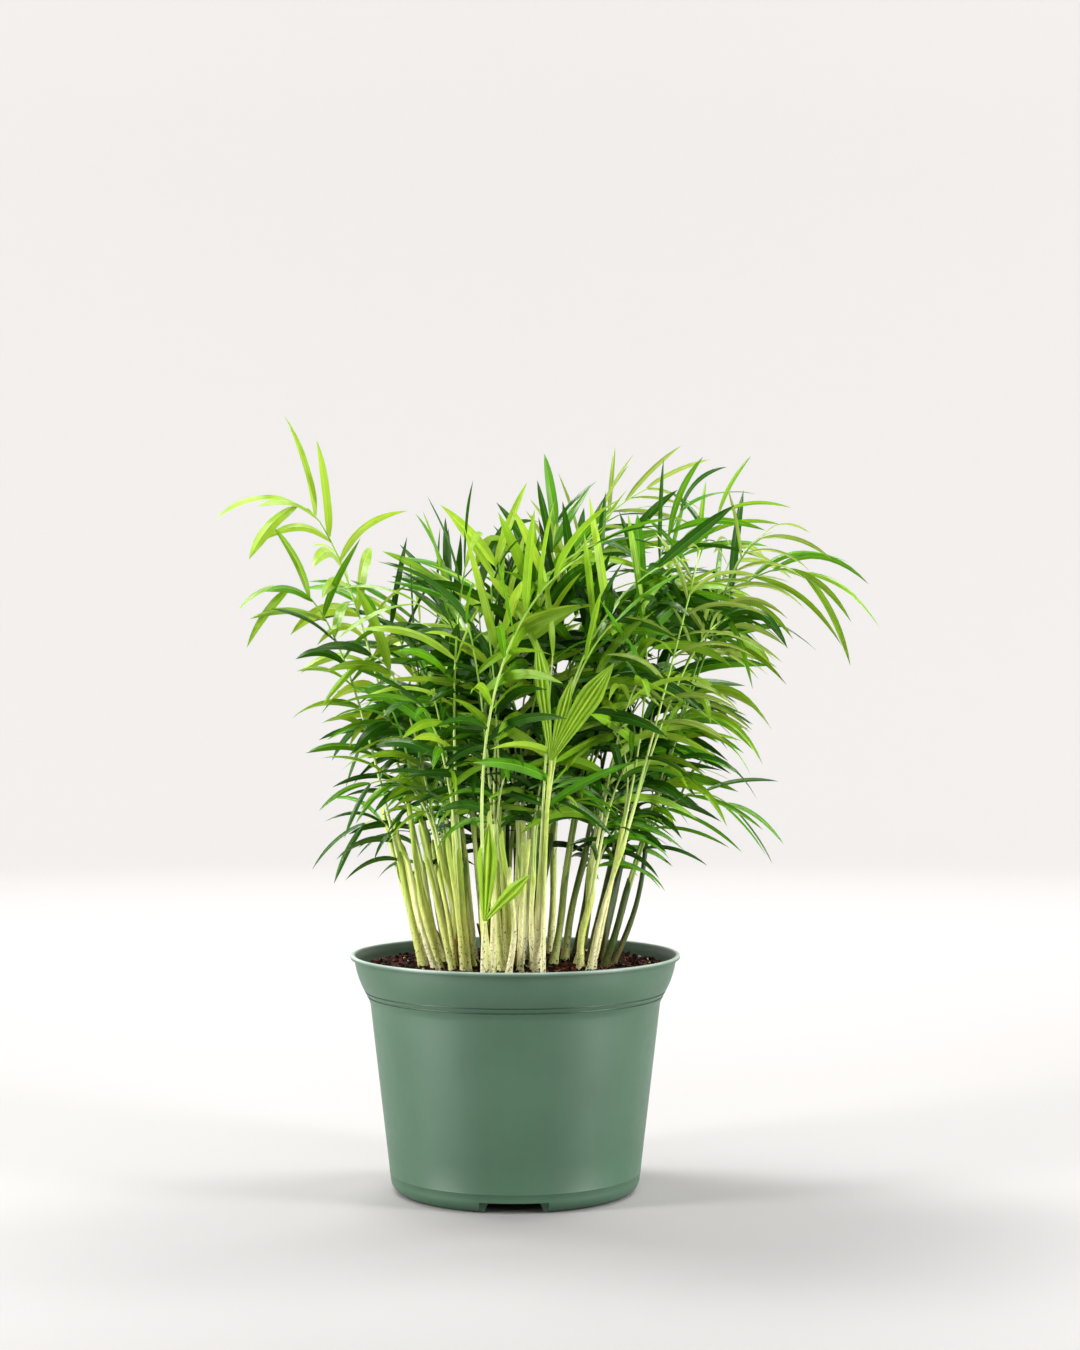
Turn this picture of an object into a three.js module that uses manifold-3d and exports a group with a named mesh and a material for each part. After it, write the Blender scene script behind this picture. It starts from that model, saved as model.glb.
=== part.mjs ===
// A young parlour palm: a dense clump of seedlings in its injection-moulded nursery pot.
// Millimetres, +Z up. The origin is the centre of the pot's flat underside, and the side
// that is looked at faces -Y.
import * as THREE from "three";
import { mergeVertices } from "three/addons/utils/BufferGeometryUtils.js";
import Module from "manifold-3d";

// Pot
const POT_HEIGHT = 145;
const LIP_RADIUS = 101.5;
const LIP_HEIGHT = 2.6;
const LIP_ROUND = 0.7;
const WALL = 1.7;
const WALL_FOOT_RADIUS = 76.8;
const WALL_DRAFT = 0.1163;
const SHOULDER_HEIGHT = 117;
const FOOT_FILLET = 8;
const FOOT_RING_WIDTH = 11;
const FLOOR_CLEARANCE = 6.8;
const FLOOR_RADIUS = 72.3;
const INNER_BEND_HEIGHT = 14;
const CENTRE_PAD_RADIUS = 22;
const CHANNEL_DRAFT = 2;
const NOTCHES = 3;
const NOTCH_WIDTH = 41;
const NOTCH_INNER_RADIUS = 54;
const DRAIN_HOLES = 6;
const DRAIN_HOLE_RADIUS = 5;
const DRAIN_CIRCLE_RADIUS = 42;
const POT_SIDES = 34;
const FILLET_STEPS = 3;

// Outer section of the pot's flared collar, from the shoulder's groove to the lip.
const COLLAR = [
  { radius: 91.4, height: 120.3 },
  { radius: 93.4, height: 124 },
  { radius: 96.5, height: 131.4 },
  { radius: 99.2, height: POT_HEIGHT - LIP_HEIGHT },
];

// Potting mix
const MIX_EDGE_DROP = 9;
const MIX_MOUND = 4;
const MIX_RINGS = 3;
const MIX_CLEARANCE = 0.4;

// Seedlings and their stems
const SEEDLINGS = 29;
const CLUMP_RADIUS = 60;
const BASE_SPREAD = 2.5;
const BASE_TURN_SPREAD = 0.14;
const STEM_BASE_RADIUS = 3.0;
const STEM_TOP_RADIUS = 2.3;
const STEM_FLARE = 1.3;
const STEM_FLARE_HEIGHT = 9;
const STEM_LENGTH = 62;
const STEM_LENGTH_SPREAD = 15;
const EDGE_STEM_DROP = 12;
const LEAN_AT_CENTRE = 2;
const LEAN_AT_EDGE = 13;
const LEAN_SPREAD = 2.5;
const LEAN_TURN_SPREAD = 0.35;
const STEM_SIDES = 6;

// Fronds
const FRONDS = 82;
const FRONDS_PER_SEEDLING = 3;
const HUB_LENGTH = 9;
const HUB_RADIUS = 2.6;
const PETIOLE_RADIUS = 1.35;
const RIB_TIP_RADIUS = 0.7;
const ARCH_UPRIGHT = 0.62;
const ARCH_OUTWARD = 1.15;
const LEAST_RISE = 22;
const ROLL_SPREAD = 46;
const BLADE_SHARE = 0.5;
const BLADE_EXTRA = 22;
const MOST_BLADE = 0.86;

// Leaflets
const FEWEST_PAIRS = 3;
const MOST_PAIRS = 6;
const LEAFLET_SPACING = 20;
const LEAFLET_LENGTH = 38;
const LEAFLET_GROWTH = 0.24;
const SHORTEST_LEAFLET = 46;
const LONGEST_LEAFLET = 74;
const LEAFLET_SPREAD = 0.08;
const LEAFLET_WIDTH_RATIO = 0.15;
const LEAFLET_WAIST = 0.46;
const LEAFLET_ROOT = 3.4;
const LEAFLET_THICKNESS = 0.95;
const FIRST_ANGLE = 60;
const LAST_ANGLE = 22;
const ANGLE_SPREAD = 7;
const TWIST_SPREAD = 0.5;
const BLADE_VEE = 0.12;
const LEAST_HANG = 0.12;
const MOST_HANG = 0.9;
const HANG_SPREAD = 0.3;
const MOST_FOLD = 0.8;

// Crown of rachis tips that the growth rule fills
const CROWN_RADIUS = 100;
const CROWN_SHIFT = 36;
const CROWN_BOTTOM = 214;
const CROWN_DEPTH = 184;
const CROWN_SPREAD = 7;

// Clearances
const GAP = 0.3;
const TEST_MARGIN = 0.2;
const RIM_CLEARANCE = 8;

// Ways round an obstacle: the rachis bows aside, and a leaflet lifts or drops.
const BOWS = [0, 6, -6, 12, -12, 20, -20];
const LIFTS = [0, 0.12, -0.12, 0.24, -0.24, 0.4, -0.4, 0.6, -0.6, 0.85, -0.85];

// Which of the noise's series each trait is drawn from.
const SERIES = {
  baseTurn: 1,
  baseRadius: 2,
  lean: 3,
  leanTurn: 4,
  stemLength: 5,
  shell: 11,
  height: 12,
  hang: 13,
  roll: 21,
  angle: 31,
  leaflet: 32,
  twist: 33,
};

const GOLDEN_ANGLE = Math.PI * (3 - Math.sqrt(5));
const UP = new THREE.Vector3(0, 0, 1);
const radians = THREE.MathUtils.degToRad;
const clamp = THREE.MathUtils.clamp;
const lerp = THREE.MathUtils.lerp;

// Fronds that break the even crown, each by its rachis tip, how far its leaflets hang,
// the length of its longest leaflet and the turn of its blade about the rachis.
const LONG_FRONDS = [
  { tip: [-134, -20, 420], hang: 0.7, leaflet: 72, roll: -45, arch: 1.04 },
  { tip: [-136, -42, 368], hang: 0.45, leaflet: 60, roll: -65, arch: 1.05 },
  { tip: [-100, 34, 362], hang: 0.3, leaflet: 60, roll: -50, arch: 0.95 },
  { tip: [-86, -52, 328], hang: 0.4, leaflet: 60, roll: -70, arch: 1 },
  { tip: [-90, 20, 288], hang: 0.5, leaflet: 56, roll: -45, arch: 1.15 },
  { tip: [-86, -56, 252], hang: 0.5, leaflet: 56, roll: -60, arch: 1.25 },
  { tip: [-92, -14, 226], hang: 0.7, leaflet: 56, roll: -50, arch: 1.4 },
  { tip: [25, 10, 410], hang: 0, leaflet: 60, roll: 80 },
  { tip: [-12, -30, 384], hang: 0.05, leaflet: 64, roll: 65 },
  { tip: [-44, 24, 372], hang: 0.1, leaflet: 58, roll: -60 },
  { tip: [104, 28, 420], hang: 0.55, leaflet: 74, roll: 80, arch: 0.75 },
  { tip: [116, 58, 398], hang: 0.3, leaflet: 66, roll: 60, arch: 0.95 },
  { tip: [178, 0, 380], hang: 1.2, leaflet: 84, roll: 65, arch: 1.12 },
  { tip: [128, -30, 352], hang: 1.5, leaflet: 84, roll: 60, arch: 1.05 },
  { tip: [108, -44, 306], hang: 0.6, leaflet: 58, roll: 60, arch: 1.1 },
  { tip: [104, 50, 286], hang: 0.5, leaflet: 58, roll: 50, arch: 1.1 },
  { tip: [130, -10, 238], hang: 0.5, leaflet: 56, roll: 65, arch: 1.5 },
  { tip: [-5, -74, 342], hang: 0.2, leaflet: 72, roll: 0 },
  { tip: [24, -72, 276], hang: 0, leaflet: 66, roll: 10, pairs: 3 },
  { tip: [80, -52, 356], hang: 0.5, leaflet: 66, roll: 30 },
  { tip: [-56, -96, 300], hang: 0.5, leaflet: 62, roll: 10 },
  { tip: [60, 124, 366], hang: 0.8, leaflet: 72, roll: -20, arch: 1.05 },
  { tip: [-58, 120, 344], hang: 0.6, leaflet: 70, roll: 25, arch: 1.05 },
];

// Repeatable noise from 0 to 1.
function noise(index, series) {
  const wave = Math.sin(index * 12.9898 + series * 78.233) * 43758.5453;
  return wave - Math.floor(wave);
}

function spread(index, series, size) {
  return (2 * noise(index, series) - 1) * size;
}

const wasm = await Module();
wasm.setup();

function toManifold(geometry) {
  const bare = geometry.clone();
  bare.deleteAttribute("normal");
  bare.deleteAttribute("uv");
  const merged = mergeVertices(bare, 1e-4);
  return new wasm.Manifold(
    new wasm.Mesh({
      numProp: 3,
      vertProperties: new Float32Array(merged.attributes.position.array),
      triVerts: new Uint32Array(merged.index.array),
    }),
  );
}

function toGeometry(manifold) {
  const mesh = manifold.getMesh();
  const geometry = new THREE.BufferGeometry();
  geometry.setAttribute("position", new THREE.BufferAttribute(mesh.vertProperties, 3));
  geometry.setIndex(new THREE.BufferAttribute(mesh.triVerts, 1));
  geometry.computeVertexNormals();
  return geometry;
}

// A turned body: points are [radius, height] along its section.
function turned(points, sides) {
  const profile = points.map(([radius, height]) => new THREE.Vector2(radius, height));
  return new THREE.LatheGeometry(profile, sides).rotateX(Math.PI / 2);
}

// The pot

function wallRadius(height) {
  return WALL_FOOT_RADIUS + WALL_DRAFT * (height - FOOT_FILLET);
}

// Outer section from the foot ring up to the lip.
function potOutside() {
  const points = [];
  for (let i = 0; i <= FILLET_STEPS; i++) {
    const turn = (i / FILLET_STEPS) * (Math.PI / 2);
    points.push([
      WALL_FOOT_RADIUS - FOOT_FILLET * (1 - Math.sin(turn)),
      FOOT_FILLET * (1 - Math.cos(turn)),
    ]);
  }
  points.push([wallRadius(SHOULDER_HEIGHT), SHOULDER_HEIGHT]);
  COLLAR.forEach(({ radius, height }) => points.push([radius, height]));
  points.push([LIP_RADIUS, POT_HEIGHT - LIP_HEIGHT + LIP_ROUND / 2]);
  points.push([LIP_RADIUS, POT_HEIGHT - LIP_ROUND]);
  points.push([LIP_RADIUS - LIP_ROUND, POT_HEIGHT]);
  return points;
}

// The hollow's section from the lip down to the raised floor's axis.
function potInside() {
  const [, collarFoot, collarMiddle, collarTop] = COLLAR;
  return [
    [collarTop.radius, POT_HEIGHT],
    [collarMiddle.radius - WALL, collarMiddle.height],
    [collarFoot.radius - WALL, collarFoot.height],
    [wallRadius(SHOULDER_HEIGHT) - WALL, SHOULDER_HEIGHT],
    [wallRadius(INNER_BEND_HEIGHT) - WALL, INNER_BEND_HEIGHT],
    [FLOOR_RADIUS, FLOOR_CLEARANCE + WALL],
    [0, FLOOR_CLEARANCE + WALL],
  ];
}

// The hollow's radius at a height above its floor.
function insideRadius(height) {
  const section = potInside();
  const below = section.findIndex(([, level]) => level <= height);
  const [upper, top] = section[below - 1];
  const [lower, bottom] = section[below];
  return lerp(lower, upper, (height - bottom) / (top - bottom));
}

// The underside's section: centre pad, raised drain channel and foot ring.
function potUnderside() {
  const ringOuter = WALL_FOOT_RADIUS - FOOT_FILLET;
  const ringInner = ringOuter - FOOT_RING_WIDTH;
  return [
    [0, 0],
    [CENTRE_PAD_RADIUS, 0],
    [CENTRE_PAD_RADIUS + CHANNEL_DRAFT, FLOOR_CLEARANCE],
    [ringInner - CHANNEL_DRAFT, FLOOR_CLEARANCE],
    [ringInner, 0],
  ];
}

function makePot() {
  let pot = toManifold(turned([...potUnderside(), ...potOutside(), ...potInside()], POT_SIDES));
  for (let i = 0; i < NOTCHES; i++) {
    const turn = -Math.PI / 2 + (i * 2 * Math.PI) / NOTCHES;
    const depth = LIP_RADIUS - NOTCH_INNER_RADIUS;
    const cutter = new THREE.BoxGeometry(depth, NOTCH_WIDTH, 2 * FLOOR_CLEARANCE)
      .translate(NOTCH_INNER_RADIUS + depth / 2, 0, 0)
      .rotateZ(turn);
    pot = pot.subtract(toManifold(cutter));
  }
  for (let i = 0; i < DRAIN_HOLES; i++) {
    const turn = ((i + 0.5) * 2 * Math.PI) / DRAIN_HOLES;
    const drill = new THREE.CylinderGeometry(DRAIN_HOLE_RADIUS, DRAIN_HOLE_RADIUS, POT_HEIGHT, 10)
      .rotateX(Math.PI / 2)
      .translate(DRAIN_CIRCLE_RADIUS * Math.cos(turn), DRAIN_CIRCLE_RADIUS * Math.sin(turn), 0);
    pot = pot.subtract(toManifold(drill));
  }
  return toGeometry(pot);
}

// The potting mix

const MIX_EDGE_HEIGHT = POT_HEIGHT - MIX_EDGE_DROP;
const MIX_RADIUS = insideRadius(MIX_EDGE_HEIGHT) - MIX_CLEARANCE;

function mixHeight(radius) {
  const share = radius / MIX_RADIUS;
  return MIX_EDGE_HEIGHT + MIX_MOUND * (1 - share * share);
}

// The mix fills the pot's hollow up to a low mound.
function makePottingMix() {
  const floor = FLOOR_CLEARANCE + WALL + MIX_CLEARANCE;
  const bends = potInside()
    .map(([, height]) => height)
    .filter((height) => height > floor && height < MIX_EDGE_HEIGHT);
  const points = [[0, floor]];
  for (const height of [floor, ...bends.reverse()]) {
    points.push([insideRadius(height) - MIX_CLEARANCE, height]);
  }
  for (let i = 0; i <= MIX_RINGS; i++) {
    const radius = MIX_RADIUS * (1 - i / MIX_RINGS);
    points.push([radius, mixHeight(radius)]);
  }
  return turned(points, POT_SIDES);
}

// Seedlings

function makeSeedling(index) {
  const share = Math.sqrt((index + 0.5) / SEEDLINGS);
  const turn = index * GOLDEN_ANGLE + spread(index, SERIES.baseTurn, BASE_TURN_SPREAD);
  const radius = CLUMP_RADIUS * share + spread(index, SERIES.baseRadius, BASE_SPREAD);
  const outward = new THREE.Vector3(Math.cos(turn), Math.sin(turn), 0);
  const base = outward.clone().multiplyScalar(radius);
  base.z = mixHeight(radius) + GAP;
  const tilt = LEAN_AT_CENTRE + LEAN_AT_EDGE * share + spread(index, SERIES.lean, LEAN_SPREAD);
  const lean = radians(tilt);
  const way = turn + spread(index, SERIES.leanTurn, LEAN_TURN_SPREAD);
  const direction = new THREE.Vector3(
    Math.cos(way) * Math.sin(lean),
    Math.sin(way) * Math.sin(lean),
    Math.cos(lean),
  );
  const average = STEM_LENGTH - EDGE_STEM_DROP * share;
  const length = average + spread(index, SERIES.stemLength, STEM_LENGTH_SPREAD);
  const top = base.clone().addScaledVector(direction, length);
  return { index, base, direction, length, top, fronds: [] };
}

// A closed surface built face by face.
class Surface {
  constructor() {
    this.points = [];
    this.faces = [];
  }
  point(vector) {
    this.points.push(vector.clone());
    return this.points.length - 1;
  }
  face(...ids) {
    for (let i = 2; i < ids.length; i++) this.faces.push([ids[0], ids[i - 1], ids[i]]);
  }
  // A face of four corners out of one plane, split along the diagonal that bulges outwards.
  quad(a, b, c, d) {
    const [first, second, third, fourth] = [a, b, c, d].map((id) => this.points[id]);
    const outwards = second.clone().sub(first).cross(third.clone().sub(first));
    const bulges = outwards.dot(fourth.clone().sub(first)) <= 0;
    this.face(...(bulges ? [a, b, c, d] : [b, c, d, a]));
  }
  geometry() {
    const geometry = new THREE.BufferGeometry();
    const flat = this.points.flatMap((p) => [p.x, p.y, p.z]);
    geometry.setAttribute("position", new THREE.Float32BufferAttribute(flat, 3));
    geometry.setIndex(this.faces.flat());
    geometry.computeVertexNormals();
    return geometry;
  }
}

// A tapering limb of level rings along a straight line: levels are [distance, radius].
function limbSurface(start, direction, levels, sides) {
  const surface = new Surface();
  const rings = levels.map(([distance, radius]) => {
    const centre = start.clone().addScaledVector(direction, distance);
    return Array.from({ length: sides }, (_, k) => {
      const turn = (k * 2 * Math.PI) / sides;
      const offset = new THREE.Vector3(Math.cos(turn), Math.sin(turn), 0);
      return surface.point(centre.clone().addScaledVector(offset, radius));
    });
  });
  for (let i = 1; i < rings.length; i++) {
    for (let k = 0; k < sides; k++) {
      const next = (k + 1) % sides;
      surface.face(rings[i - 1][k], rings[i - 1][next], rings[i][next], rings[i][k]);
    }
  }
  surface.face(...rings[0].slice().reverse());
  surface.face(...rings[rings.length - 1]);
  return surface;
}

function stemSurface(seedling) {
  const levels = [
    [0, STEM_BASE_RADIUS + STEM_FLARE],
    [STEM_FLARE_HEIGHT, STEM_BASE_RADIUS],
    [seedling.length * 0.55, lerp(STEM_BASE_RADIUS, STEM_TOP_RADIUS, 0.5)],
    [seedling.length, STEM_TOP_RADIUS],
  ];
  return limbSurface(seedling.base, seedling.direction, levels, STEM_SIDES);
}

// The mouth of the top leaf sheath, where a seedling's petioles part.
function hubSurface(seedling) {
  const start = seedling.top.clone().addScaledVector(UP, GAP);
  const levels = [
    [0, STEM_TOP_RADIUS],
    [HUB_LENGTH, HUB_RADIUS],
  ];
  return limbSurface(start, seedling.direction, levels, STEM_SIDES);
}

// Where the growth rule puts the rachis tip of one frond.
function crownTip(index, count) {
  const level = (index + 0.5) / count;
  const turn = index * GOLDEN_ANGLE;
  const bulge = 0.68 + 0.32 * Math.min(1, 2 * level) - 0.25 * Math.max(0, level - 0.75);
  const shell = 0.45 + 0.55 * Math.sqrt(noise(index, SERIES.shell));
  const radius = CROWN_RADIUS * bulge * shell;
  const shift = CROWN_SHIFT * level;
  return new THREE.Vector3(
    shift + radius * Math.cos(turn),
    radius * Math.sin(turn),
    CROWN_BOTTOM + CROWN_DEPTH * level + spread(index, SERIES.height, CROWN_SPREAD),
  );
}

// The seedling that still has room and stands best under a rachis tip: low fronds come
// from the clump's edge and high ones from nearer its middle.
function seedlingUnder(tip, seedlings) {
  const share = lerp(0.62, 0.3, clamp((tip.z - CROWN_BOTTOM) / CROWN_DEPTH, 0, 1));
  const cost = ({ base, top }) => {
    const aside = Math.hypot(base.x - share * tip.x, base.y - share * tip.y);
    return aside + (tip.z - top.z < LEAST_RISE ? 2 * CLUMP_RADIUS : 0);
  };
  const free = seedlings.filter(({ fronds }) => fronds.length < FRONDS_PER_SEEDLING);
  return free.reduce((best, seedling) => (cost(seedling) < cost(best) ? seedling : best));
}

function planFronds(seedlings) {
  const ruled = FRONDS - LONG_FRONDS.length;
  const plans = LONG_FRONDS.map((frond) => ({ ...frond, tip: new THREE.Vector3(...frond.tip) }));
  for (let i = 0; i < ruled; i++) {
    const tip = crownTip(i, ruled);
    const level = (tip.z - CROWN_BOTTOM) / CROWN_DEPTH;
    const hang = MOST_HANG * (1 - level) + spread(i, SERIES.hang, HANG_SPREAD);
    plans.push({ tip, hang: Math.max(0, hang) });
  }
  plans.forEach((plan, index) => {
    plan.index = index;
    plan.seedling = seedlingUnder(plan.tip, seedlings);
    plan.seedling.fronds.push(plan);
  });
  for (const { top, fronds } of seedlings) {
    const bearing = ({ tip }) => Math.atan2(tip.y - top.y, tip.x - top.x);
    const middle = new THREE.Vector2();
    fronds.forEach(({ tip }) => middle.add(new THREE.Vector2(tip.x - top.x, tip.y - top.y)));
    const aside = (plan) => {
      const angle = bearing(plan) - middle.angle();
      return Math.atan2(Math.sin(angle), Math.cos(angle));
    };
    fronds.sort((a, b) => aside(a) - aside(b));
    fronds.forEach((plan, slot) => {
      plan.slotAngle = middle.angle() + ((slot - 1) * 2 * Math.PI) / FRONDS_PER_SEEDLING;
    });
  }
  return plans;
}

// The rachis: straight on from the stem, then arching over to its tip.
function shapeFrond(plan, bow) {
  const { seedling, tip, slotAngle } = plan;
  const slot = new THREE.Vector3(Math.cos(slotAngle), Math.sin(slotAngle), 0);
  const root = seedling.top
    .clone()
    .addScaledVector(seedling.direction, GAP + 0.3 * HUB_LENGTH)
    .addScaledVector(slot, HUB_RADIUS * 0.5);
  const outward = new THREE.Vector3(tip.x - root.x, tip.y - root.y, 0).normalize();
  const side = new THREE.Vector3(-outward.y, outward.x, 0);
  const flatness = Math.hypot(tip.x - root.x, tip.y - root.y) / root.distanceTo(tip);
  const arch = plan.arch ?? lerp(ARCH_UPRIGHT, ARCH_OUTWARD, flatness);
  const climb = (arch * (tip.z - root.z)) / seedling.direction.z;
  const knee = root
    .clone()
    .addScaledVector(seedling.direction, climb)
    .addScaledVector(side, bow);
  const curve = new THREE.QuadraticBezierCurve3(root, knee, tip);
  const length = curve.getLength();
  const blade = Math.min(BLADE_SHARE * length + BLADE_EXTRA, MOST_BLADE * length);
  const pairs = clamp(Math.round(blade / LEAFLET_SPACING), FEWEST_PAIRS, MOST_PAIRS);
  const ruled = LEAFLET_LENGTH + LEAFLET_GROWTH * length;
  return {
    plan,
    curve,
    side,
    length,
    firstPair: 1 - blade / length,
    pairs: plan.pairs ?? pairs,
    leaflet: plan.leaflet ?? clamp(ruled, SHORTEST_LEAFLET, LONGEST_LEAFLET),
    roll: radians(plan.roll ?? spread(plan.index, SERIES.roll, ROLL_SPREAD)),
  };
}

// The rachis at a place: its centre, and the ways along it, to its left and out of its top.
function frondAxes(shape, place) {
  const along = shape.curve.getTangentAt(place);
  const side = shape.side.clone().applyAxisAngle(along, shape.roll);
  side.addScaledVector(along, -side.dot(along)).normalize();
  const upper = new THREE.Vector3().crossVectors(along, side);
  return { centre: shape.curve.getPointAt(place), along, side, upper };
}

// The rings along a frond: the bare petiole's, then two at the root of each leaflet pair.
function ringPlaces(shape) {
  const rings = [0, 0.5].map((share) => ({ place: share * shape.firstPair }));
  const root = LEAFLET_ROOT / shape.length;
  for (let pair = 0; pair < shape.pairs; pair++) {
    const share = pair / (shape.pairs - 1);
    const place = lerp(shape.firstPair, 1 - root, share);
    rings.push({ place, pair, share });
    rings.push({ place: place + root });
  }
  return rings;
}

function ringPoints(shape, place, margin) {
  const { centre, side, upper } = frondAxes(shape, place);
  const radius = lerp(PETIOLE_RADIUS, RIB_TIP_RADIUS, place) + margin;
  const crest = centre.clone().addScaledVector(upper, radius / 2);
  return {
    left: crest.clone().addScaledVector(side, radius),
    right: crest.clone().addScaledVector(side, -radius),
    keel: centre.clone().addScaledVector(upper, -radius),
  };
}

// A leaflet's middle section and tip. hand is 1 on the frond's left and -1 on its right.
function shapeLeaflet(shape, ring, hand, lift) {
  const seed = shape.plan.index * 31 + ring.pair * 2 + (hand > 0 ? 1 : 0);
  const { centre, along, side, upper } = frondAxes(shape, ring.place);
  const opening = lerp(FIRST_ANGLE, LAST_ANGLE, ring.share);
  const angle = radians(opening + spread(seed, SERIES.angle, ANGLE_SPREAD));
  const swell = 0.74 + 0.26 * Math.sin(Math.PI * (0.15 + 0.75 * ring.share));
  const length = shape.leaflet * swell * (1 + spread(seed, SERIES.leaflet, LEAFLET_SPREAD));
  const outward = side.clone().multiplyScalar(hand);
  const way = along.clone().multiplyScalar(Math.cos(angle));
  way.addScaledVector(outward, Math.sin(angle));
  way.addScaledVector(upper, BLADE_VEE + lift).normalize();
  const across = along.clone().multiplyScalar(Math.sin(angle));
  across.addScaledVector(outward, -Math.cos(angle));
  across.applyAxisAngle(way, spread(seed, SERIES.twist, TWIST_SPREAD));
  across.addScaledVector(way, -across.dot(way)).normalize();
  const normal = new THREE.Vector3().crossVectors(across, way).multiplyScalar(hand);
  const middle = centre.clone().addScaledVector(way, LEAFLET_WAIST * length);
  const drop = Math.min(shape.plan.hang + LEAST_HANG, MOST_FOLD / Math.max(way.z, 0.01));
  const hanging = way.clone().addScaledVector(UP, -drop).normalize();
  const tip = middle.clone().addScaledVector(hanging, (1 - LEAFLET_WAIST) * length);
  const root = centre.clone().addScaledVector(way, 2 * PETIOLE_RADIUS);
  const width = length * LEAFLET_WIDTH_RATIO;
  return { root, middle, across, normal, tip, width, thickness: LEAFLET_THICKNESS };
}

// Adds a leaflet on the quad between two rings' corners on its side of the rib.
function addLeaflet(surface, leaflet, quad, hand) {
  const { middle, across, normal, width, thickness } = leaflet;
  const far = surface.point(middle.clone().addScaledVector(across, width / 2));
  const near = surface.point(middle.clone().addScaledVector(across, -width / 2));
  const keel = surface.point(middle.clone().addScaledVector(normal, -thickness));
  const tip = surface.point(leaflet.tip);
  const [nearTop, farTop, farKeel, nearKeel] = quad;
  const inOrder = (face) => (hand > 0 ? face : face.reverse());
  surface.quad(...inOrder([nearKeel, nearTop, near, keel]));
  surface.quad(...inOrder([nearTop, farTop, far, near]));
  surface.quad(...inOrder([farTop, farKeel, keel, far]));
  surface.face(...inOrder([farKeel, nearKeel, keel]));
  surface.face(...inOrder([keel, near, tip]));
  surface.face(...inOrder([near, far, tip]));
  surface.face(...inOrder([far, keel, tip]));
}

function frondSurface(shape) {
  const surface = new Surface();
  const places = ringPlaces(shape);
  const rings = places.map(({ place }) => {
    const { left, right, keel } = ringPoints(shape, place, 0);
    return [surface.point(left), surface.point(right), surface.point(keel)];
  });
  surface.face(rings[0][0], rings[0][2], rings[0][1]);
  for (let i = 1; i < rings.length; i++) {
    const [left, right, keel] = rings[i - 1];
    const [nextLeft, nextRight, nextKeel] = rings[i];
    const { pair } = places[i - 1];
    surface.face(left, right, nextRight, nextLeft);
    const onLeft = shape.leaflets.get(`${pair} 1`);
    const onRight = shape.leaflets.get(`${pair} -1`);
    if (onLeft) addLeaflet(surface, onLeft, [left, nextLeft, nextKeel, keel], 1);
    else surface.face(keel, left, nextLeft, nextKeel);
    if (onRight) addLeaflet(surface, onRight, [right, nextRight, nextKeel, keel], -1);
    else surface.face(right, keel, nextKeel, nextRight);
  }
  surface.face(...rings[rings.length - 1]);
  return surface;
}

// Room for growth: what has been placed so far, as bodies of triangles that nothing
// placed later may cross.
class Thicket {
  constructor() {
    this.bodies = [];
  }
  add(owner, triangles) {
    const box = new THREE.Box3().setFromPoints(triangles.flat());
    this.bodies.push({ owner, triangles, box });
  }
  blocks(triangles, isOwn) {
    const box = new THREE.Box3().setFromPoints(triangles.flat());
    return this.bodies.some(
      (body) =>
        !isOwn(body.owner) &&
        body.box.intersectsBox(box) &&
        (edgesPierce(triangles, body.triangles) || edgesPierce(body.triangles, triangles)),
    );
  }
}

const edge = new THREE.Ray();
const hit = new THREE.Vector3();

function edgesPierce(from, into) {
  for (const corners of from) {
    for (let k = 0; k < 3; k++) {
      const length = corners[k].distanceTo(corners[(k + 1) % 3]);
      edge.origin.copy(corners[k]);
      edge.lookAt(corners[(k + 1) % 3]);
      for (const [a, b, c] of into) {
        if (edge.intersectTriangle(a, b, c, false, hit) && hit.distanceTo(edge.origin) <= length) {
          return true;
        }
      }
    }
  }
  return false;
}

function surfaceTriangles(surface) {
  return surface.faces.map((face) => face.map((id) => surface.points[id]));
}

// The rib between two rings, a little fatter than it is.
function ribBodies(shape) {
  const rings = ringPlaces(shape).map(({ place }) => ringPoints(shape, place, TEST_MARGIN));
  return rings.slice(1).map((next, i) => {
    const { left, right, keel } = rings[i];
    return [
      [left, right, next.left],
      [right, next.right, next.left],
      [right, keel, next.right],
      [keel, next.keel, next.right],
      [keel, left, next.keel],
      [left, next.left, next.keel],
    ];
  });
}

// A leaflet's own surface, a little larger on every side than it is.
function leafletBody(shape, ring, leaflet, hand) {
  const surface = new Surface();
  const rings = [ring.place, ring.place + LEAFLET_ROOT / shape.length];
  const [near, far] = rings.map((place) => ringPoints(shape, place, TEST_MARGIN));
  const top = hand > 0 ? "left" : "right";
  const quad = [near[top], far[top], far.keel, near.keel].map((point) => surface.point(point));
  const { middle, normal, tip, width, thickness } = leaflet;
  const longer = tip.clone().sub(middle).setLength(2 * TEST_MARGIN).add(tip);
  const larger = {
    ...leaflet,
    middle: middle.clone().addScaledVector(normal, TEST_MARGIN),
    tip: longer,
    width: width + 2 * TEST_MARGIN,
    thickness: thickness + 2 * TEST_MARGIN,
  };
  addLeaflet(surface, larger, quad, hand);
  return surfaceTriangles(surface);
}

// A leaflet as a diamond that starts clear of the rib, to compare with its own frond's.
function leafletDiamond({ root, middle, across, normal, tip, width, thickness }) {
  const waist = [
    middle.clone().addScaledVector(across, width / 2),
    middle.clone().addScaledVector(normal, TEST_MARGIN),
    middle.clone().addScaledVector(across, -width / 2),
    middle.clone().addScaledVector(normal, -thickness),
  ];
  return waist.flatMap((corner, k) => {
    const next = waist[(k + 1) % waist.length];
    return [
      [root, corner, next],
      [tip, corner, next],
    ];
  });
}

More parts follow.
